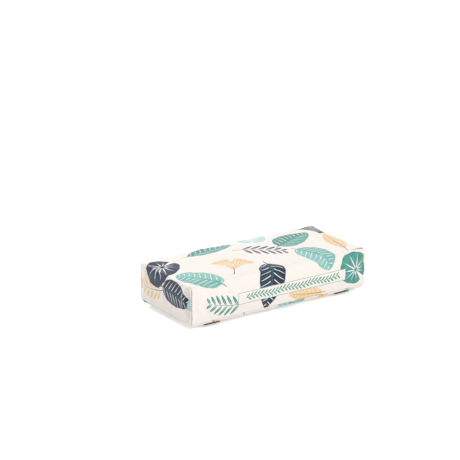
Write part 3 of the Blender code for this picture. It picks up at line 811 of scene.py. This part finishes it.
def makeCover(material):
    wide, slotHalf = body["halfWidth"], cover["slotHalf"]
    high, low = cover["slot"]
    edge = endRows[:7]
    far = np.concatenate([edge - wide, [-slotHalf]])
    across = np.concatenate([far, np.linspace(-slotHalf, slotHalf, 35)[1:-1], -far[::-1]])
    drops = np.concatenate([
        edge, np.linspace(12 * mm, high, 6), np.linspace(high, low, 4)[1:],
        np.linspace(low, coverDepth - 3 * mm, 7)[1:], [coverDepth - 1.5 * mm, coverDepth],
    ])
    sharp, faces, sheet = unfoldedBox(body["halfLength"], wide, across, drops)
    middle = sharp[faces].mean(axis=1)
    atRear = body["halfLength"] - 1e-6
    opening = (middle[:, 0] > atRear) & (np.abs(middle[:, 1]) < slotHalf)
    opening &= (middle[:, 2] < -high) & (middle[:, 2] > -low)
    faces, sheet = faces[~opening], sheet[~opening]
    used, faces = np.unique(faces, return_inverse=True)
    sharp, faces = sharp[used], faces.reshape(-1, 4)
    points = coverPoints(sharp)
    piece = makePiece("leafCover", points, faces, material, sheet)
    x, y, drop = np.abs(sharp[:, 0]), np.abs(sharp[:, 1]), -sharp[:, 2]
    corner = np.hypot(body["halfLength"] - x, wide - y)
    held = 1 - ease(0, 10 * mm, corner)
    held = np.maximum(held, 1 - ease(0, 9 * mm, coverDepth - drop))
    besideSlot = np.maximum(y - slotHalf, np.maximum(high - drop, drop - low))
    behind = sharp[:, 0] > atRear
    held = np.maximum(held, behind * (1 - ease(1 * mm, 12 * mm, besideSlot)))
    outward = readPoints(piece.data.vertices, "normal")
    moved = ((clothSwell(piece, np.maximum(held, 0.06)) - points) * outward).sum(1)
    # the foam keeps the broad shape: only the folds of the swollen cloth are kept, mostly outwards
    folds = moved - smoothedOver(piece.data, moved, 70)
    print("folds in mm", np.percentile(folds / mm, [1, 50, 99]).round(2))
    folds = folds / np.sqrt(1 + (folds / cover["cap"]) ** 2)
    folds = np.where(folds < 0, folds * 0.4, folds) * (1 - held)
    setPoints(piece.data, points + outward * folds[:, None])
    spot = piece.data.attributes.new("spot", "FLOAT_VECTOR", "POINT")
    spot.data.foreach_set("vector", sharp.ravel())
    addModifier(piece, "SUBSURF", levels=1, render_levels=1)
    graph = bpy.context.evaluated_depsgraph_get()
    finer = bpy.data.meshes.new_from_object(
        piece.evaluated_get(graph), preserve_all_data_layers=True, depsgraph=graph)
    piece.modifiers.clear()
    piece.data = finer
    sewCover(piece)
    addModifier(piece, "SOLIDIFY", thickness=body["fabric"], offset=-1, use_even_offset=False)
    return piece


def sewCover(piece):
    # Along each corner seam the sheet sinks by groove * exp(-(d / 1.4)^2), with puckers that fade over
    # some 15 mm: sin(drop / 1.7) * exp(-d / 6), d the distance from the seam in mm. Creases, the hem's
    # tucks, the wavering shoulders and the darts are sunk or raised in the same way.
    sharp = readPoints(piece.data.attributes["spot"].data, "vector")
    outward, points = readPoints(piece.data.vertices, "normal"), readPoints(piece.data.vertices, "co")
    x, y, drop = sharp[:, 0], sharp[:, 1], -sharp[:, 2]
    fromEnd, fromSide = body["halfLength"] - np.abs(x), body["halfWidth"] - np.abs(y)
    corner = np.hypot(fromEnd, fromSide) / mm
    side = ease(1 * mm, 6 * mm, drop)
    low = (coverDepth - drop) / mm
    sink = cover["groove"] * np.exp(-((corner / 1.4) ** 2)) * side
    onFace = {"end": ease(5, 0.5, fromEnd / mm), "side": ease(5, 0.5, fromSide / mm)}
    for sx, sy, face, at, width, middle, half, share in creases:
        here = (np.sign(x) == sx) * (np.sign(y) == sy) * onFace[face]
        here = here * np.exp(-(((corner - at) / width) ** 2))
        sink += cover["valley"] * share * here * np.exp(-(((drop / mm - middle) / half) ** 4))
    wave = np.sin(drop / mm / 1.7 + np.sign(x) * 1.1 + 0.6 * np.sin(drop / mm / 5.3))
    sink += cover["pucker"] * wave * np.exp(-corner / 6) * (1 - np.exp(-corner / 1.5)) * side
    # the hem is turned in and sewn down, which draws a shallow dip above its edge and small tucks
    run = (x + y) / mm
    tuck = np.sin(run / 4.1 + 1.3 * np.sin(run / 17)) * 0.5 + 0.5
    sink += cover["hemDip"] * np.exp(-(((low - 3.2) / 1.5) ** 2)) * (0.7 + 0.3 * tuck)
    sink += cover["hemTuck"] * tuck * np.exp(-(((low - 8) / 4) ** 2)) * ease(8, 20, corner)
    # the folded edge of the zip slot is sewn down 2.6 mm from it
    behind = ease(body["halfLength"] - 0.6 * mm, body["halfLength"], x)
    high, deep = cover["slot"]
    beside = np.maximum(np.abs(y) - cover["slotHalf"], np.maximum(high - drop, drop - deep)) / mm
    sink += cover["slotDip"] * behind * np.exp(-(((beside - 2.6) / 1.1) ** 2))
    # the shoulders between the seat and the sides waver, as a cloth does that is fitted by hand
    shoulder = np.where(drop > 0, drop, np.minimum(fromEnd, fromSide)) / mm
    along = (x - y) / mm
    waver = np.sin(along / 8.5 + 1.7 * np.sin(along / 29))
    waver = waver + 0.5 * np.sin(along / 3.9 + 2 * np.sin(along / 21))
    sink += cover["waver"] * waver * np.exp(-(((shoulder - 2) / 8) ** 2)) * ease(4, 14, corner)
    # a dart is a narrow crease with a lip beside it
    for sx, sy, reach, lean, deep in darts:
        u = np.clip((body["halfLength"] - sx * x) / mm, 0, None)
        v = (body["halfWidth"] - sy * y) / mm
        crease = v - 2.5 - lean * (u / reach) ** 1.2
        fade = np.clip(1 - u / reach, 0, 1) * ease(1.5 * mm, 0, drop)
        sink += deep * mm * np.exp(-((crease / 1.5) ** 2)) * fade
        sink -= 0.55 * deep * mm * np.exp(-(((crease + 2.8) / 2.0) ** 2)) * fade
    setPoints(piece.data, points - outward * sink[:, None])


base = {
    "inset": 1.3 * mm,
    "rim": 16 * mm,  # base face to the rim's top edge
    "upright": 7 * mm,
    "level": 5.5 * mm,
    "bedHalf": 15.8 * mm,
    "bedEdge": 2.5 * mm,
    "bedDepth": 0.55 * mm,
    "lean": 2.2 * mm,  # how far the rim leans in behind the cover's hem
}


def makeBase(material):
    # the rounded box again, turned over, pressed in by bedDepth under each strap, its rim leaning in
    # behind the hem
    halfLength, halfWidth = body["halfLength"] - base["inset"], body["halfWidth"] - base["inset"]
    across = np.linspace(-halfWidth, halfWidth, 61)
    drops = np.append(np.array([0, 0.8, 1.8, 3, 4.4, 6, 8, 10, 13]) * mm, base["rim"])
    sharp, faces, sheet = unfoldedBox(halfLength, halfWidth, across, drops)
    points = roundedBox(sharp, halfLength, halfWidth, base["upright"], base["level"])
    x, drop = sharp[:, 0], -points[:, 2]
    tapeLow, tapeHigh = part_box("rear_hook_tape")
    beside = np.abs(np.abs(x) - (tapeLow.x + tapeHigh.x) / 2)
    bed = (1 - ease(base["bedHalf"], base["bedHalf"] + base["bedEdge"], beside)) * (drop < 2 * mm)
    lean = base["lean"] * ease(7 * mm, 10 * mm, drop)
    points[:, 0] *= 1 - lean / halfLength
    points[:, 1] *= 1 - lean / halfWidth
    points[:, 2] = body["base"] + drop + base["bedDepth"] * bed
    piece = makePiece("leafBase", points, faces[:, ::-1], material, sheet[:, ::-1])
    addModifier(piece, "SUBSURF", levels=1, render_levels=1)
    addModifier(piece, "SOLIDIFY", thickness=body["fabric"], offset=-1)
    return piece


foamBlock = {
    "inset": 4.8 * mm,
    "below": 1.7 * mm,  # below the cover's seat
    "above": 1.8 * mm,  # above the base panel's face
    "upright": 8 * mm,
    "level": 12 * mm,
}


def makeFoam(material):
    # the closed rounded box with the cover's crown, a little inside the cover and clear of the slider
    halfLength, halfWidth = body["halfLength"] - foamBlock["inset"], body["halfWidth"] - foamBlock["inset"]
    top = body["seat"] - foamBlock["below"]
    depth = top - (body["base"] + foamBlock["above"])
    edge = np.array([0, 1.2, 2.8, 5, 8, 12]) * mm
    near = edge - halfWidth
    across = np.concatenate([near, np.linspace(near[-1], -near[-1], 33)[1:-1], -near[::-1]])
    drops = np.concatenate([edge, np.linspace(edge[-1], depth - edge[-1], 9)[1:-1], depth - edge[::-1]])
    sharp, faces, _ = unfoldedBox(halfLength, halfWidth, across, drops, closed=True)
    points = roundedBox(sharp, halfLength, halfWidth, foamBlock["upright"], foamBlock["level"], depth=depth)
    x, y = sharp[:, 0] / halfLength, sharp[:, 1] / halfWidth
    points[:, 2] += cover["crown"] * (1 - x**4) * (1 - y**2) * ease(-foamBlock["level"], 0, points[:, 2])
    points[:, 2] += top
    return makePiece("foamBlock", points, faces, material)


# Sewing

stitch = {
    "length": 2.3 * mm,
    "pitch": 3.2 * mm,
    "radius": 0.3 * mm,
    "sides": 6,
    "sink": 0.05 * mm,  # into the cloth
    "fromHem": 3.2 * mm,
    "fromSlot": 2.6 * mm,
    "tapeHalf": (11 * mm, 38 * mm),  # the sewn rectangle on each patch of tape
}


def evenly(path, pitch):
    # places and directions at even steps along a closed line of points
    line = np.concatenate([path, path[:1]])
    steps = np.linalg.norm(np.diff(line, axis=0), axis=1)
    length = np.concatenate([[0], np.cumsum(steps)])
    count = max(2, round(length[-1] / pitch))
    places = (np.arange(count) + 0.5) * length[-1] / count
    here = np.stack([np.interp(places, length, line[:, i]) for i in range(3)], 1)
    ahead = np.stack([np.interp(places + 0.1 * mm, length, line[:, i]) for i in range(3)], 1)
    ahead = ahead - here
    return here, ahead / np.linalg.norm(ahead, axis=1, keepdims=True)


def onSurface(piece, places, sink):
    # the nearest places on a piece's own mesh, and the surface's directions there
    mesh = piece.data
    tree = BVHTree.FromPolygons([v.co for v in mesh.vertices], [p.vertices[:] for p in mesh.polygons])
    found = [tree.find_nearest(Vector(p)) for p in places]
    spots, ups = np.array([f[0] for f in found]), np.array([f[1] for f in found])
    return spots - ups * sink, ups


def makeStitches(name, here, ahead, up, material):
    # Each stitch is a pill along the seam: radius * sqrt(1 - u^8) round a line of the stitch's length,
    # its ends dipping into the cloth by the radius * u^4, u from -1 to 1.
    u = np.array([-1.0, -0.88, -0.5, 0.5, 0.88, 1.0])
    v = np.arange(stitch["sides"]) * 2 * math.pi / stitch["sides"]
    thick = stitch["radius"] * np.sqrt(1 - np.clip(np.abs(u), 0, 0.985) ** 8)
    side = np.cross(up, ahead)
    side /= np.linalg.norm(side, axis=1, keepdims=True)
    grid = here[:, None, None, :] + ahead[:, None, None, :] * (u * stitch["length"] / 2)[None, :, None, None]
    grid = grid + side[:, None, None, :] * (thick[:, None] * np.cos(v))[None, :, :, None]
    rise = thick[:, None] * np.sin(v) - stitch["radius"] * (u**4)[:, None]
    grid = grid + up[:, None, None, :] * rise[None, :, :, None]
    each = u.size * v.size
    faces = [face for k in range(len(here)) for face in tubeFaces(u.size, v.size, k * each)]
    return makePiece(name, grid, faces, material)


def sew(name, path, thread, slotName, cloth=None):
    # stitches along a closed line, laid on the cloth, or facing down where none is given
    here, ahead = evenly(path, stitch["pitch"])
    up = np.tile([0.0, 0, -1], (len(here), 1))
    if cloth is not None:
        here, up = onSurface(cloth, here, stitch["sink"])
    dress(makeStitches(name, here, ahead, up, thread), "cushion", slotName)


def roundedLoop(halfLength, halfWidth, radius, height):
    # a rounded rectangle at a height, anticlockwise from above
    turns = np.linspace(0, math.pi / 2, 7)
    parts = []
    for k, (sx, sy) in enumerate(((1, 1), (-1, 1), (-1, -1), (1, -1))):
        a = turns + k * math.pi / 2
        x, y = sx * (halfLength - radius), sy * (halfWidth - radius)
        parts.append(np.stack([x + radius * np.cos(a), y + radius * np.sin(a), 0 * a + height], 1))
    return np.concatenate(parts)


# Straps

strap = {
    "halfWidth": 15 * mm,
    "halfThickness": 0.6 * mm,
    "foldY": 69.5 * mm,
    "runs": (0.6 * mm, 4.5 * mm, 6.0 * mm),  # heights of the lowest, the next and the sewn run
    "freeEnd": 45 * mm,
}


def strapLine():
    # the strap's middle line in y and z, from one free end round the two folds to the other
    low, high, sewn = strap["runs"]
    inside = strap["foldY"] - 2 * mm

    def run(start, stop, count, height):
        return np.stack([np.linspace(start, stop, count), np.full(count, height)], 1)

    def fold(side, start, turns):
        radius = (sewn - start) / 2
        y = side * (strap["foldY"] + radius * np.cos(turns))
        return np.stack([y, start + radius + radius * np.sin(turns)], 1)

    turns = np.linspace(-math.pi / 2, math.pi / 2, 13)
    return np.concatenate([
        run(strap["freeEnd"], -inside, 40, high), fold(-1, high, turns), run(-inside, inside, 46, sewn),
        fold(1, low, turns[::-1]), run(inside, -strap["freeEnd"], 40, low),
    ])


def makeStrap(name, x, material):
    # A flat section carried along the line: its half thickness is t * (1 - |s|^10)^0.5, thicker by a
    # tenth at the woven edges, s from -1 to 1 across the webbing.
    line = strapLine()
    ahead = np.gradient(line, axis=0)
    ahead /= np.linalg.norm(ahead, axis=1, keepdims=True)
    normal = np.stack([-ahead[:, 1], ahead[:, 0]], 1)
    turn = np.linspace(0, 2 * math.pi, 41)[:-1]
    s = np.sign(np.cos(turn)) * np.abs(np.cos(turn)) ** 0.5
    edge = 1 + 0.1 * np.exp(-(((np.abs(s) - 0.9) / 0.05) ** 2))
    t = np.sign(np.sin(turn)) * strap["halfThickness"] * (1 - np.clip(np.abs(s), 0, 1) ** 10) ** 0.5 * edge
    t *= np.minimum(1, np.abs(np.sin(turn)) * 4) ** 0.5
    s = s * strap["halfWidth"]
    points = np.zeros((len(line), len(s), 3))
    points[:, :, 0] = x + s
    points[:, :, 1:] = line[:, None, :] + normal[:, None, :] * t[None, :, None]
    length = np.concatenate([[0], np.cumsum(np.linalg.norm(np.diff(line, axis=0), axis=1))])
    flat = np.stack(np.broadcast_arrays(length[:, None], s[None, :]), -1).reshape(-1, 2)
    faces = tubeFaces(len(line), len(s), turned=True)
    return makePiece(name, points, faces, material, flat[np.concatenate(faces)])


# The zip

teeth = {
    "pitch": 2.0 * mm,
    "count": 62,
    "width": 1.15 * mm,
    "parting": 1.2 * mm,
    "reach": 1.9 * mm,
    "thickness": 2.0 * mm,
    "cord": 0.75 * mm,
}


def superRound(angle, power):
    # cosine and sine, each raised to the power with its sign kept
    c, s = np.cos(angle), np.sin(angle)
    return np.sign(c) * np.abs(c) ** power, np.sign(s) * np.abs(s) ** power


def makeTeeth(name, up, material):
    # Each tooth is a superellipsoid: (cos u)^e (cos v)^e, (cos u)^e (sin v)^e, (sin u)^e with e = 0.5,
    # its ends closed flat where u is 1.35, on a round cord that runs along the tape's edge.
    u, v = np.linspace(-1.35, 1.35, 6), np.linspace(0, 2 * math.pi, 9)[:-1]
    cu, su = superRound(u, 0.5)
    cv, sv = superRound(v, 0.5)
    shape = np.stack([cu[:, None] * cv, cu[:, None] * sv, su[:, None] + 0 * cv], -1)
    shape = shape * np.array([teeth["thickness"], teeth["width"], teeth["reach"]]) / 2
    places = (np.arange(teeth["count"]) + 0.5 - teeth["count"] / 2) * teeth["pitch"]
    middle = zipPlace.z + up * (teeth["parting"] + teeth["reach"]) / 2
    centres = np.stack([0 * places + zipPlace.x, places, 0 * places + middle], 1)
    points = (centres[:, None, None, :] + shape[None]).reshape(-1, 3)
    each = len(u) * len(v)
    faces = [face for k in range(len(places)) for face in tubeFaces(len(u), len(v), k * each)]
    turn = np.linspace(0, 2 * math.pi, 11)[:-1]
    run = np.linspace(-teeth["count"] / 2, teeth["count"] / 2, 3) * teeth["pitch"]
    cordZ = zipPlace.z + up * (teeth["parting"] / 2 + teeth["reach"])
    ring = np.stack([
        zipPlace.x + teeth["cord"] * np.cos(turn), 0 * turn, cordZ + teeth["cord"] * 0.9 * np.sin(turn),
    ], 1)
    cord = ring[None] + np.array([0, 1, 0]) * run[:, None, None]
    faces += tubeFaces(3, len(turn), len(points), turned=True)
    return makePiece(name, np.concatenate([points, cord.reshape(-1, 3)]), faces, material)


zipTape = {
    "half": 70 * mm,
    "inner": 2.1 * mm,  # from the zip's middle line to the tape's inner edge
    "endInner": 0.5 * mm,
    "closes": (62.6 * mm, 66 * mm),  # where the inner edges ease in past the stops
    "outer": 15 * mm,
    "thickness": 0.8 * mm,
    "edge": 0.3 * mm,
}


def makeZipTape(name, up, material):
    # A flat section carried along the zip. Its inner edge follows the teeth's cord, and past the stops
    # it eases in to meet the other tape.
    ends = np.linspace(0.84, 1, 12)
    y = np.concatenate([-ends[::-1], np.linspace(-0.84, 0.84, 31)[1:-1], ends]) * zipTape["half"]
    closing = ease(*zipTape["closes"], np.abs(y))
    inner = zipTape["inner"] + (zipTape["endInner"] - zipTape["inner"]) * closing
    edge, t = zipTape["edge"], zipTape["thickness"] / 2
    middle = np.full(len(y), (zipTape["inner"] + zipTape["outer"]) / 2)
    outer = np.full(len(y), zipTape["outer"])
    round8 = [inner, inner + edge, middle, outer - edge, outer, outer - edge, middle, inner + edge]
    heights = np.stack(round8, 1)
    sides = np.array([0, t, t, t, 0, -t, -t, -t])
    points = np.stack(np.broadcast_arrays(zipPlace.x + sides, y[:, None], zipPlace.z + up * heights), -1)
    return makePiece(name, points, tubeFaces(len(y), 8, turned=up > 0), material)


# Other materials

finishInks = {
    # each finish's darker and lighter colour
    "webbing": ("#18191b", "#36383c"),
    "hookTape": ("#0f1011", "#2e3034"),
    "loopTape": ("#222427", "#404348"),
    "zipTape": ("#ded3c6", "#f3ece3"),
    "acetal": ("#d8cfc2", "#e9e1d6"),
    "nickel": ("#a9a8a4", "#cfcdc8"),
    "foam": ("#cbb98a", "#efe3c1"),
}


def twoInks(finish, factor):
    # the inputs of a mix from a finish's darker colour to its lighter one
    dark, light = finishInks[finish]
    return {"Factor": factor, "A": linearColour(dark), "B": linearColour(light)}


def sewingThread(name, code):
    # twisted polyester thread, matt, with a fine spiral that shows as a faint unevenness
    material, put, wire = newMaterial(name, Roughness=0.6, Sheen_Weight=0.2)
    place = put("TexCoord").outputs["Object"]
    twist = uneven(put, place, 900.0, 2.0, 0.9, 1.05)
    wire(Base_Color=put("HueSaturation", {"Value": twist, "Color": linearColour(code)}))
    return material


def wovenWebbing(ribPitch=1.9 * mm, weftPitch=2.8 * mm):
    # black polypropylene webbing, flat woven: ribs along it, broken by the weft every 1.4 mm, dull
    # with a slight sheen
    material, put, wire = newMaterial("polypropyleneWebbing", Roughness=0.68, Sheen_Weight=0.25)
    sheet = put("UVMap", uv_map="sheet")
    along, across = put("SeparateXYZ", [sheet]).outputs[:2]
    warp = put("Math", [across, 2 * math.pi / ribPitch], operation="MULTIPLY")
    warp = put("Math", [warp], operation="SINE")
    phase = put("Math", [warp], operation="SIGN")
    weft = put("Math", [along, 2 * math.pi / weftPitch], operation="MULTIPLY")
    weft = put("Math", [phase, math.pi / 2, weft], operation="MULTIPLY_ADD")
    weft = put("Math", [weft], operation="SINE")
    ribs = put("Math", [warp], operation="ABSOLUTE")
    height = put("Math", [weft, 0.35, ribs], operation="MULTIPLY_ADD")
    wire(Normal=put("Bump", {"Height": height, "Distance": 0.22 * mm}))
    tone = put("MapRange", [height, -0.2, 1.2])
    wire(Base_Color=put("Mix", twoInks("webbing", tone), data_type="RGBA"))
    return material


def hookTape(pitch=1.3 * mm):
    # woven nylon with moulded hooks: a close field of stiff points, drawn 1.3 mm apart
    material, put, wire = newMaterial("nylonHookTape", Roughness=0.5)
    place = put("TexCoord").outputs["Object"]
    hooks = put("TexVoronoi", {"Vector": place, "Scale": 1 / pitch, "Randomness": 0.25})
    height = put("MapRange", [hooks.outputs["Distance"], 0.1, 0.6, 1.0, 0.0])
    wire(Normal=put("Bump", {"Height": height, "Distance": 0.5 * mm}))
    wire(Base_Color=put("Mix", twoInks("hookTape", height), data_type="RGBA"))
    return material


def loopTape():
    # brushed nylon loops: a soft nap with no shine
    material, put, wire = newMaterial("nylonLoopTape", Roughness=0.92, Sheen_Weight=0.5)
    place = put("TexCoord").outputs["Object"]
    nap = put("TexNoise", {"Vector": place, "Scale": 700.0, "Detail": 4.0, "Distortion": 1.5})
    wire(Normal=put("Bump", {"Height": nap, "Distance": 0.6 * mm}))
    wire(Base_Color=put("Mix", twoInks("loopTape", nap), data_type="RGBA"))
    return material


def twilledTape(along=1.2 * mm, upward=1.7 * mm):
    # undyed polyester zip tape: a fine twill that slants along the tape, drawn 1.2 mm apart
    material, put, wire = newMaterial("polyesterZipTape", Roughness=0.75, Sheen_Weight=0.15)
    place = put("TexCoord").outputs["Object"]
    turns = (0, 2 * math.pi / along, 2 * math.pi / upward)
    slant = put("VectorMath", [place, turns], operation="DOT_PRODUCT").outputs["Value"]
    twill = put("Math", [slant], operation="SINE")
    slub = put("TexNoise", {"Vector": place, "Scale": 500.0, "Detail": 2.0})
    height = put("Math", [twill, 0.3, slub], operation="MULTIPLY_ADD")
    wire(Normal=put("Bump", {"Height": height, "Distance": 0.15 * mm}))
    tone = put("MapRange", [height, 0.1, 0.9])
    wire(Base_Color=put("Mix", twoInks("zipTape", tone), data_type="RGBA"))
    return material


def mouldedAcetal():
    # moulded acetal teeth: smooth, slightly waxy, cream to go with the tape
    material, put, wire = newMaterial(
        "mouldedAcetal", IOR=1.48, Subsurface_Weight=0.08, Subsurface_Radius=(mm, mm, mm))
    place = put("TexCoord").outputs["Object"]
    grain = put("TexNoise", {"Vector": place, "Scale": 160.0, "Detail": 2.0})
    wire(Base_Color=put("Mix", twoInks("acetal", grain), data_type="RGBA"))
    wire(Roughness=put("MapRange", [grain, 0.3, 0.7, 0.3, 0.42]))
    return material


def nickelPlate():
    # bright nickel over a zinc casting: mirror-like, a little warm, duller where the slider rubs
    material, put, wire = newMaterial("nickelPlatedZinc", Metallic=1.0)
    place = put("TexCoord").outputs["Object"]
    rubbed = put("TexNoise", {"Vector": place, "Scale": 380.0, "Detail": 4.0})
    wire(Base_Color=put("Mix", twoInks("nickel", rubbed), data_type="RGBA"))
    wire(Roughness=put("MapRange", [rubbed, 0.3, 0.7, 0.18, 0.36]))
    wire(Normal=put("Bump", {"Height": rubbed, "Distance": 0.03 * mm}))
    return material


def openCellFoam(cell=1.0 * mm):
    # cut polyurethane foam: open cells about 0.6 mm across, drawn at 1 mm, matt and creamy yellow
    material, put, wire = newMaterial("polyurethaneFoam", Roughness=0.95)
    place = put("TexCoord").outputs["Object"]
    cells = put("TexVoronoi", {"Vector": place, "Scale": 1 / cell})
    height = put("MapRange", [cells.outputs["Distance"], 0.0, 0.6])
    wire(Normal=put("Bump", {"Height": height, "Distance": 0.3 * mm}))
    wire(Base_Color=put("Mix", twoInks("foam", height), data_type="RGBA"))
    return material


studio = {
    "paper": "#f4f3f1",
    "white": "#ffffff",
    "floorHalf": 6.0,
    "floorBelow": 0.3 * mm,
    "floorGlow": 0.5,  # added to the floor's own light where the eye or gloss sees it
    "worldLight": 0.47,  # on the object; the eye and gloss see the world as white
    "lookAt": (0, 0, 0.05),
    "lamps": {
        # place, size and watts
        "keyLamp": ((0.35, -2.0, 1.6), 1.3, 31.5),
        "rimLamp": ((-0.66, 1.95, 1.5), 0.5, 33),
    },
}
shot = {"azimuth": -34.3, "elevation": 18.0, "distance": 3.263, "target": (-0.0477, 0, 0.1279), "lens": 156.5}


def plainlySeen(put):
    # 1 for the rays that show a thing to the eye, to gloss and to glass, and 0 for the others
    rays = put("LightPath").outputs
    seen = put("Math", [rays["Is Camera Ray"], rays["Is Glossy Ray"]], operation="MAXIMUM")
    return put("Math", [seen, rays["Is Transmission Ray"]], operation="MAXIMUM")


def paleFloor():
    # studio paper: it shows white to the eye, to gloss and to glass, and keeps the object's shadow
    material, put, wire = newMaterial("studioPaper", Roughness=0.9,
        Base_Color=linearColour(studio["paper"]), Emission_Color=linearColour(studio["white"]))
    wire(Emission_Strength=put("Math", [plainlySeen(put), studio["floorGlow"]], operation="MULTIPLY"))
    return material


def softLamp(name, place, size, watts):
    lamp = bpy.data.lights.new(name, "AREA")
    lamp.shape, lamp.size, lamp.energy = "DISK", size, watts
    piece = bpy.data.objects.new(name, lamp)
    bpy.context.scene.collection.objects.link(piece)
    piece.location = place
    piece.rotation_euler = (Vector(studio["lookAt"]) - Vector(place)).to_track_quat("-Z", "Y").to_euler()


def recoat(node, material):
    # a CAD node keeps its shape and gets this material
    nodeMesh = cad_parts[node].data
    nodeMesh.materials.clear()
    nodeMesh.materials.append(material)
    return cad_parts[node]


print("materials")
canvas = coatedCanvas("coatedCanvas", (0, 0, 0), True)
baseCanvas = coatedCanvas("coatedCanvasBase", (60, 35, 0), False)
creamThread = sewingThread("creamThread", "#efe6dc")
blackThread = sewingThread("blackThread", "#2b2c2f")
webbing, nickel = wovenWebbing(), nickelPlate()

print("cover")
leafCover = dress(makeCover(canvas), "cushion", "printed_fabric", "printed_cover")

print("base")
leafBase = dress(makeBase(baseCanvas), "cushion", "printed_fabric", "base_panel")

print("stitches")
proud = 0.5 * mm  # the hem's line is laid from just outside the cloth
hemLoop = roundedLoop(
    body["halfLength"] + proud, body["halfWidth"] + proud, 7 * mm, body["hem"] + stitch["fromHem"])
sew("hemStitches", hemLoop, creamThread, "printed_fabric", leafCover)
slotDepth = cover["slot"][1] - cover["slot"][0]
slotLoop = roundedLoop(cover["slotHalf"] + stitch["fromSlot"], slotDepth / 2 + stitch["fromSlot"], 2 * mm, 0)
slotLoop = np.stack([0 * slotLoop[:, 0] + body["halfLength"], slotLoop[:, 0], slotLoop[:, 1] + zipPlace.z], 1)
sew("slotStitches", slotLoop, creamThread, "printed_fabric", leafCover)

print("straps")
for end in ("front", "rear"):
    tapeLow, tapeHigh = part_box(end + "_hook_tape")
    x = (tapeLow.x + tapeHigh.x) / 2
    dress(makeStrap(end + "Webbing", x, webbing), "cushion", "webbing", end + "_strap")
    patch = roundedLoop(*stitch["tapeHalf"], 1 * mm, 0) + np.array([x, 0, 0])
    sew(end + "TapeStitches", patch, blackThread, "webbing")
    recoat(end + "_hook_tape", hookTape())
    recoat(end + "_loop_tape", loopTape())

print("zip")
acetal, tape = mouldedAcetal(), twilledTape()
for side, up in (("upper", 1), ("lower", -1)):
    dress(makeTeeth(side + "Teeth", up, acetal), "cushion", "zip_teeth", "zip_teeth_" + side)
    dress(makeZipTape(side + "ZipTape", up, tape), "cushion", "zip_tape", "zip_tape_" + side)
for node in ("zip_top_stop_upper", "zip_top_stop_lower", "zip_bottom_stop", "zip_slider", "zip_pull"):
    metal = recoat(node, nickel)
    addModifier(metal, "WELD", merge_threshold=0.01 * mm)
    addModifier(metal, "BEVEL", width=0.16 * mm, segments=3, limit_method="ANGLE", harden_normals=False)

print("foam")
foam = dress(makeFoam(openCellFoam()), "cushion", "upholstery_foam", "foam_core")

print("floor, light and camera")
corners = np.array([[-1, -1, 0], [1, -1, 0], [1, 1, 0], [-1, 1, 0]]) * studio["floorHalf"]
corners = corners - [0, 0, studio["floorBelow"]]
floor = makePiece("studioFloor", corners, [[0, 1, 2, 3]], paleFloor(), smooth=False)
floor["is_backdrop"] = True

world = bpy.data.worlds.new("studio")
bpy.context.scene.world = world
world.use_nodes = True
light = partial(addNode, world.node_tree)
strength = light("MapRange", [plainlySeen(light), 0.0, 1.0, studio["worldLight"], 1.0])
backdrop = world.node_tree.nodes["Background"]
backdrop.inputs["Color"].default_value = linearColour(studio["white"])
world.node_tree.links.new(strength.outputs[0], backdrop.inputs["Strength"])
for name, (place, size, watts) in studio["lamps"].items():
    softLamp(name, place, size, watts)

cameraData = bpy.data.cameras.new("camera")
cameraData.lens, cameraData.sensor_width = shot["lens"], 36
camera = bpy.data.objects.new("camera", cameraData)
bpy.context.scene.collection.objects.link(camera)
azimuth, elevation = math.radians(shot["azimuth"]), math.radians(shot["elevation"])
level = math.cos(elevation)
back = Vector((math.sin(azimuth) * level, -math.cos(azimuth) * level, math.sin(elevation)))
camera.location = Vector(shot["target"]) + back * shot["distance"]
camera.rotation_euler = (-back).to_track_quat("-Z", "Y").to_euler()
bpy.context.scene.camera = camera
bpy.context.scene.view_settings.view_transform = "Standard"

sizes = {"cad": cadBox, "visual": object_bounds()}
sizes = {key: [list(corner) for corner in box] for key, box in sizes.items()}
print("sizes", sizes)
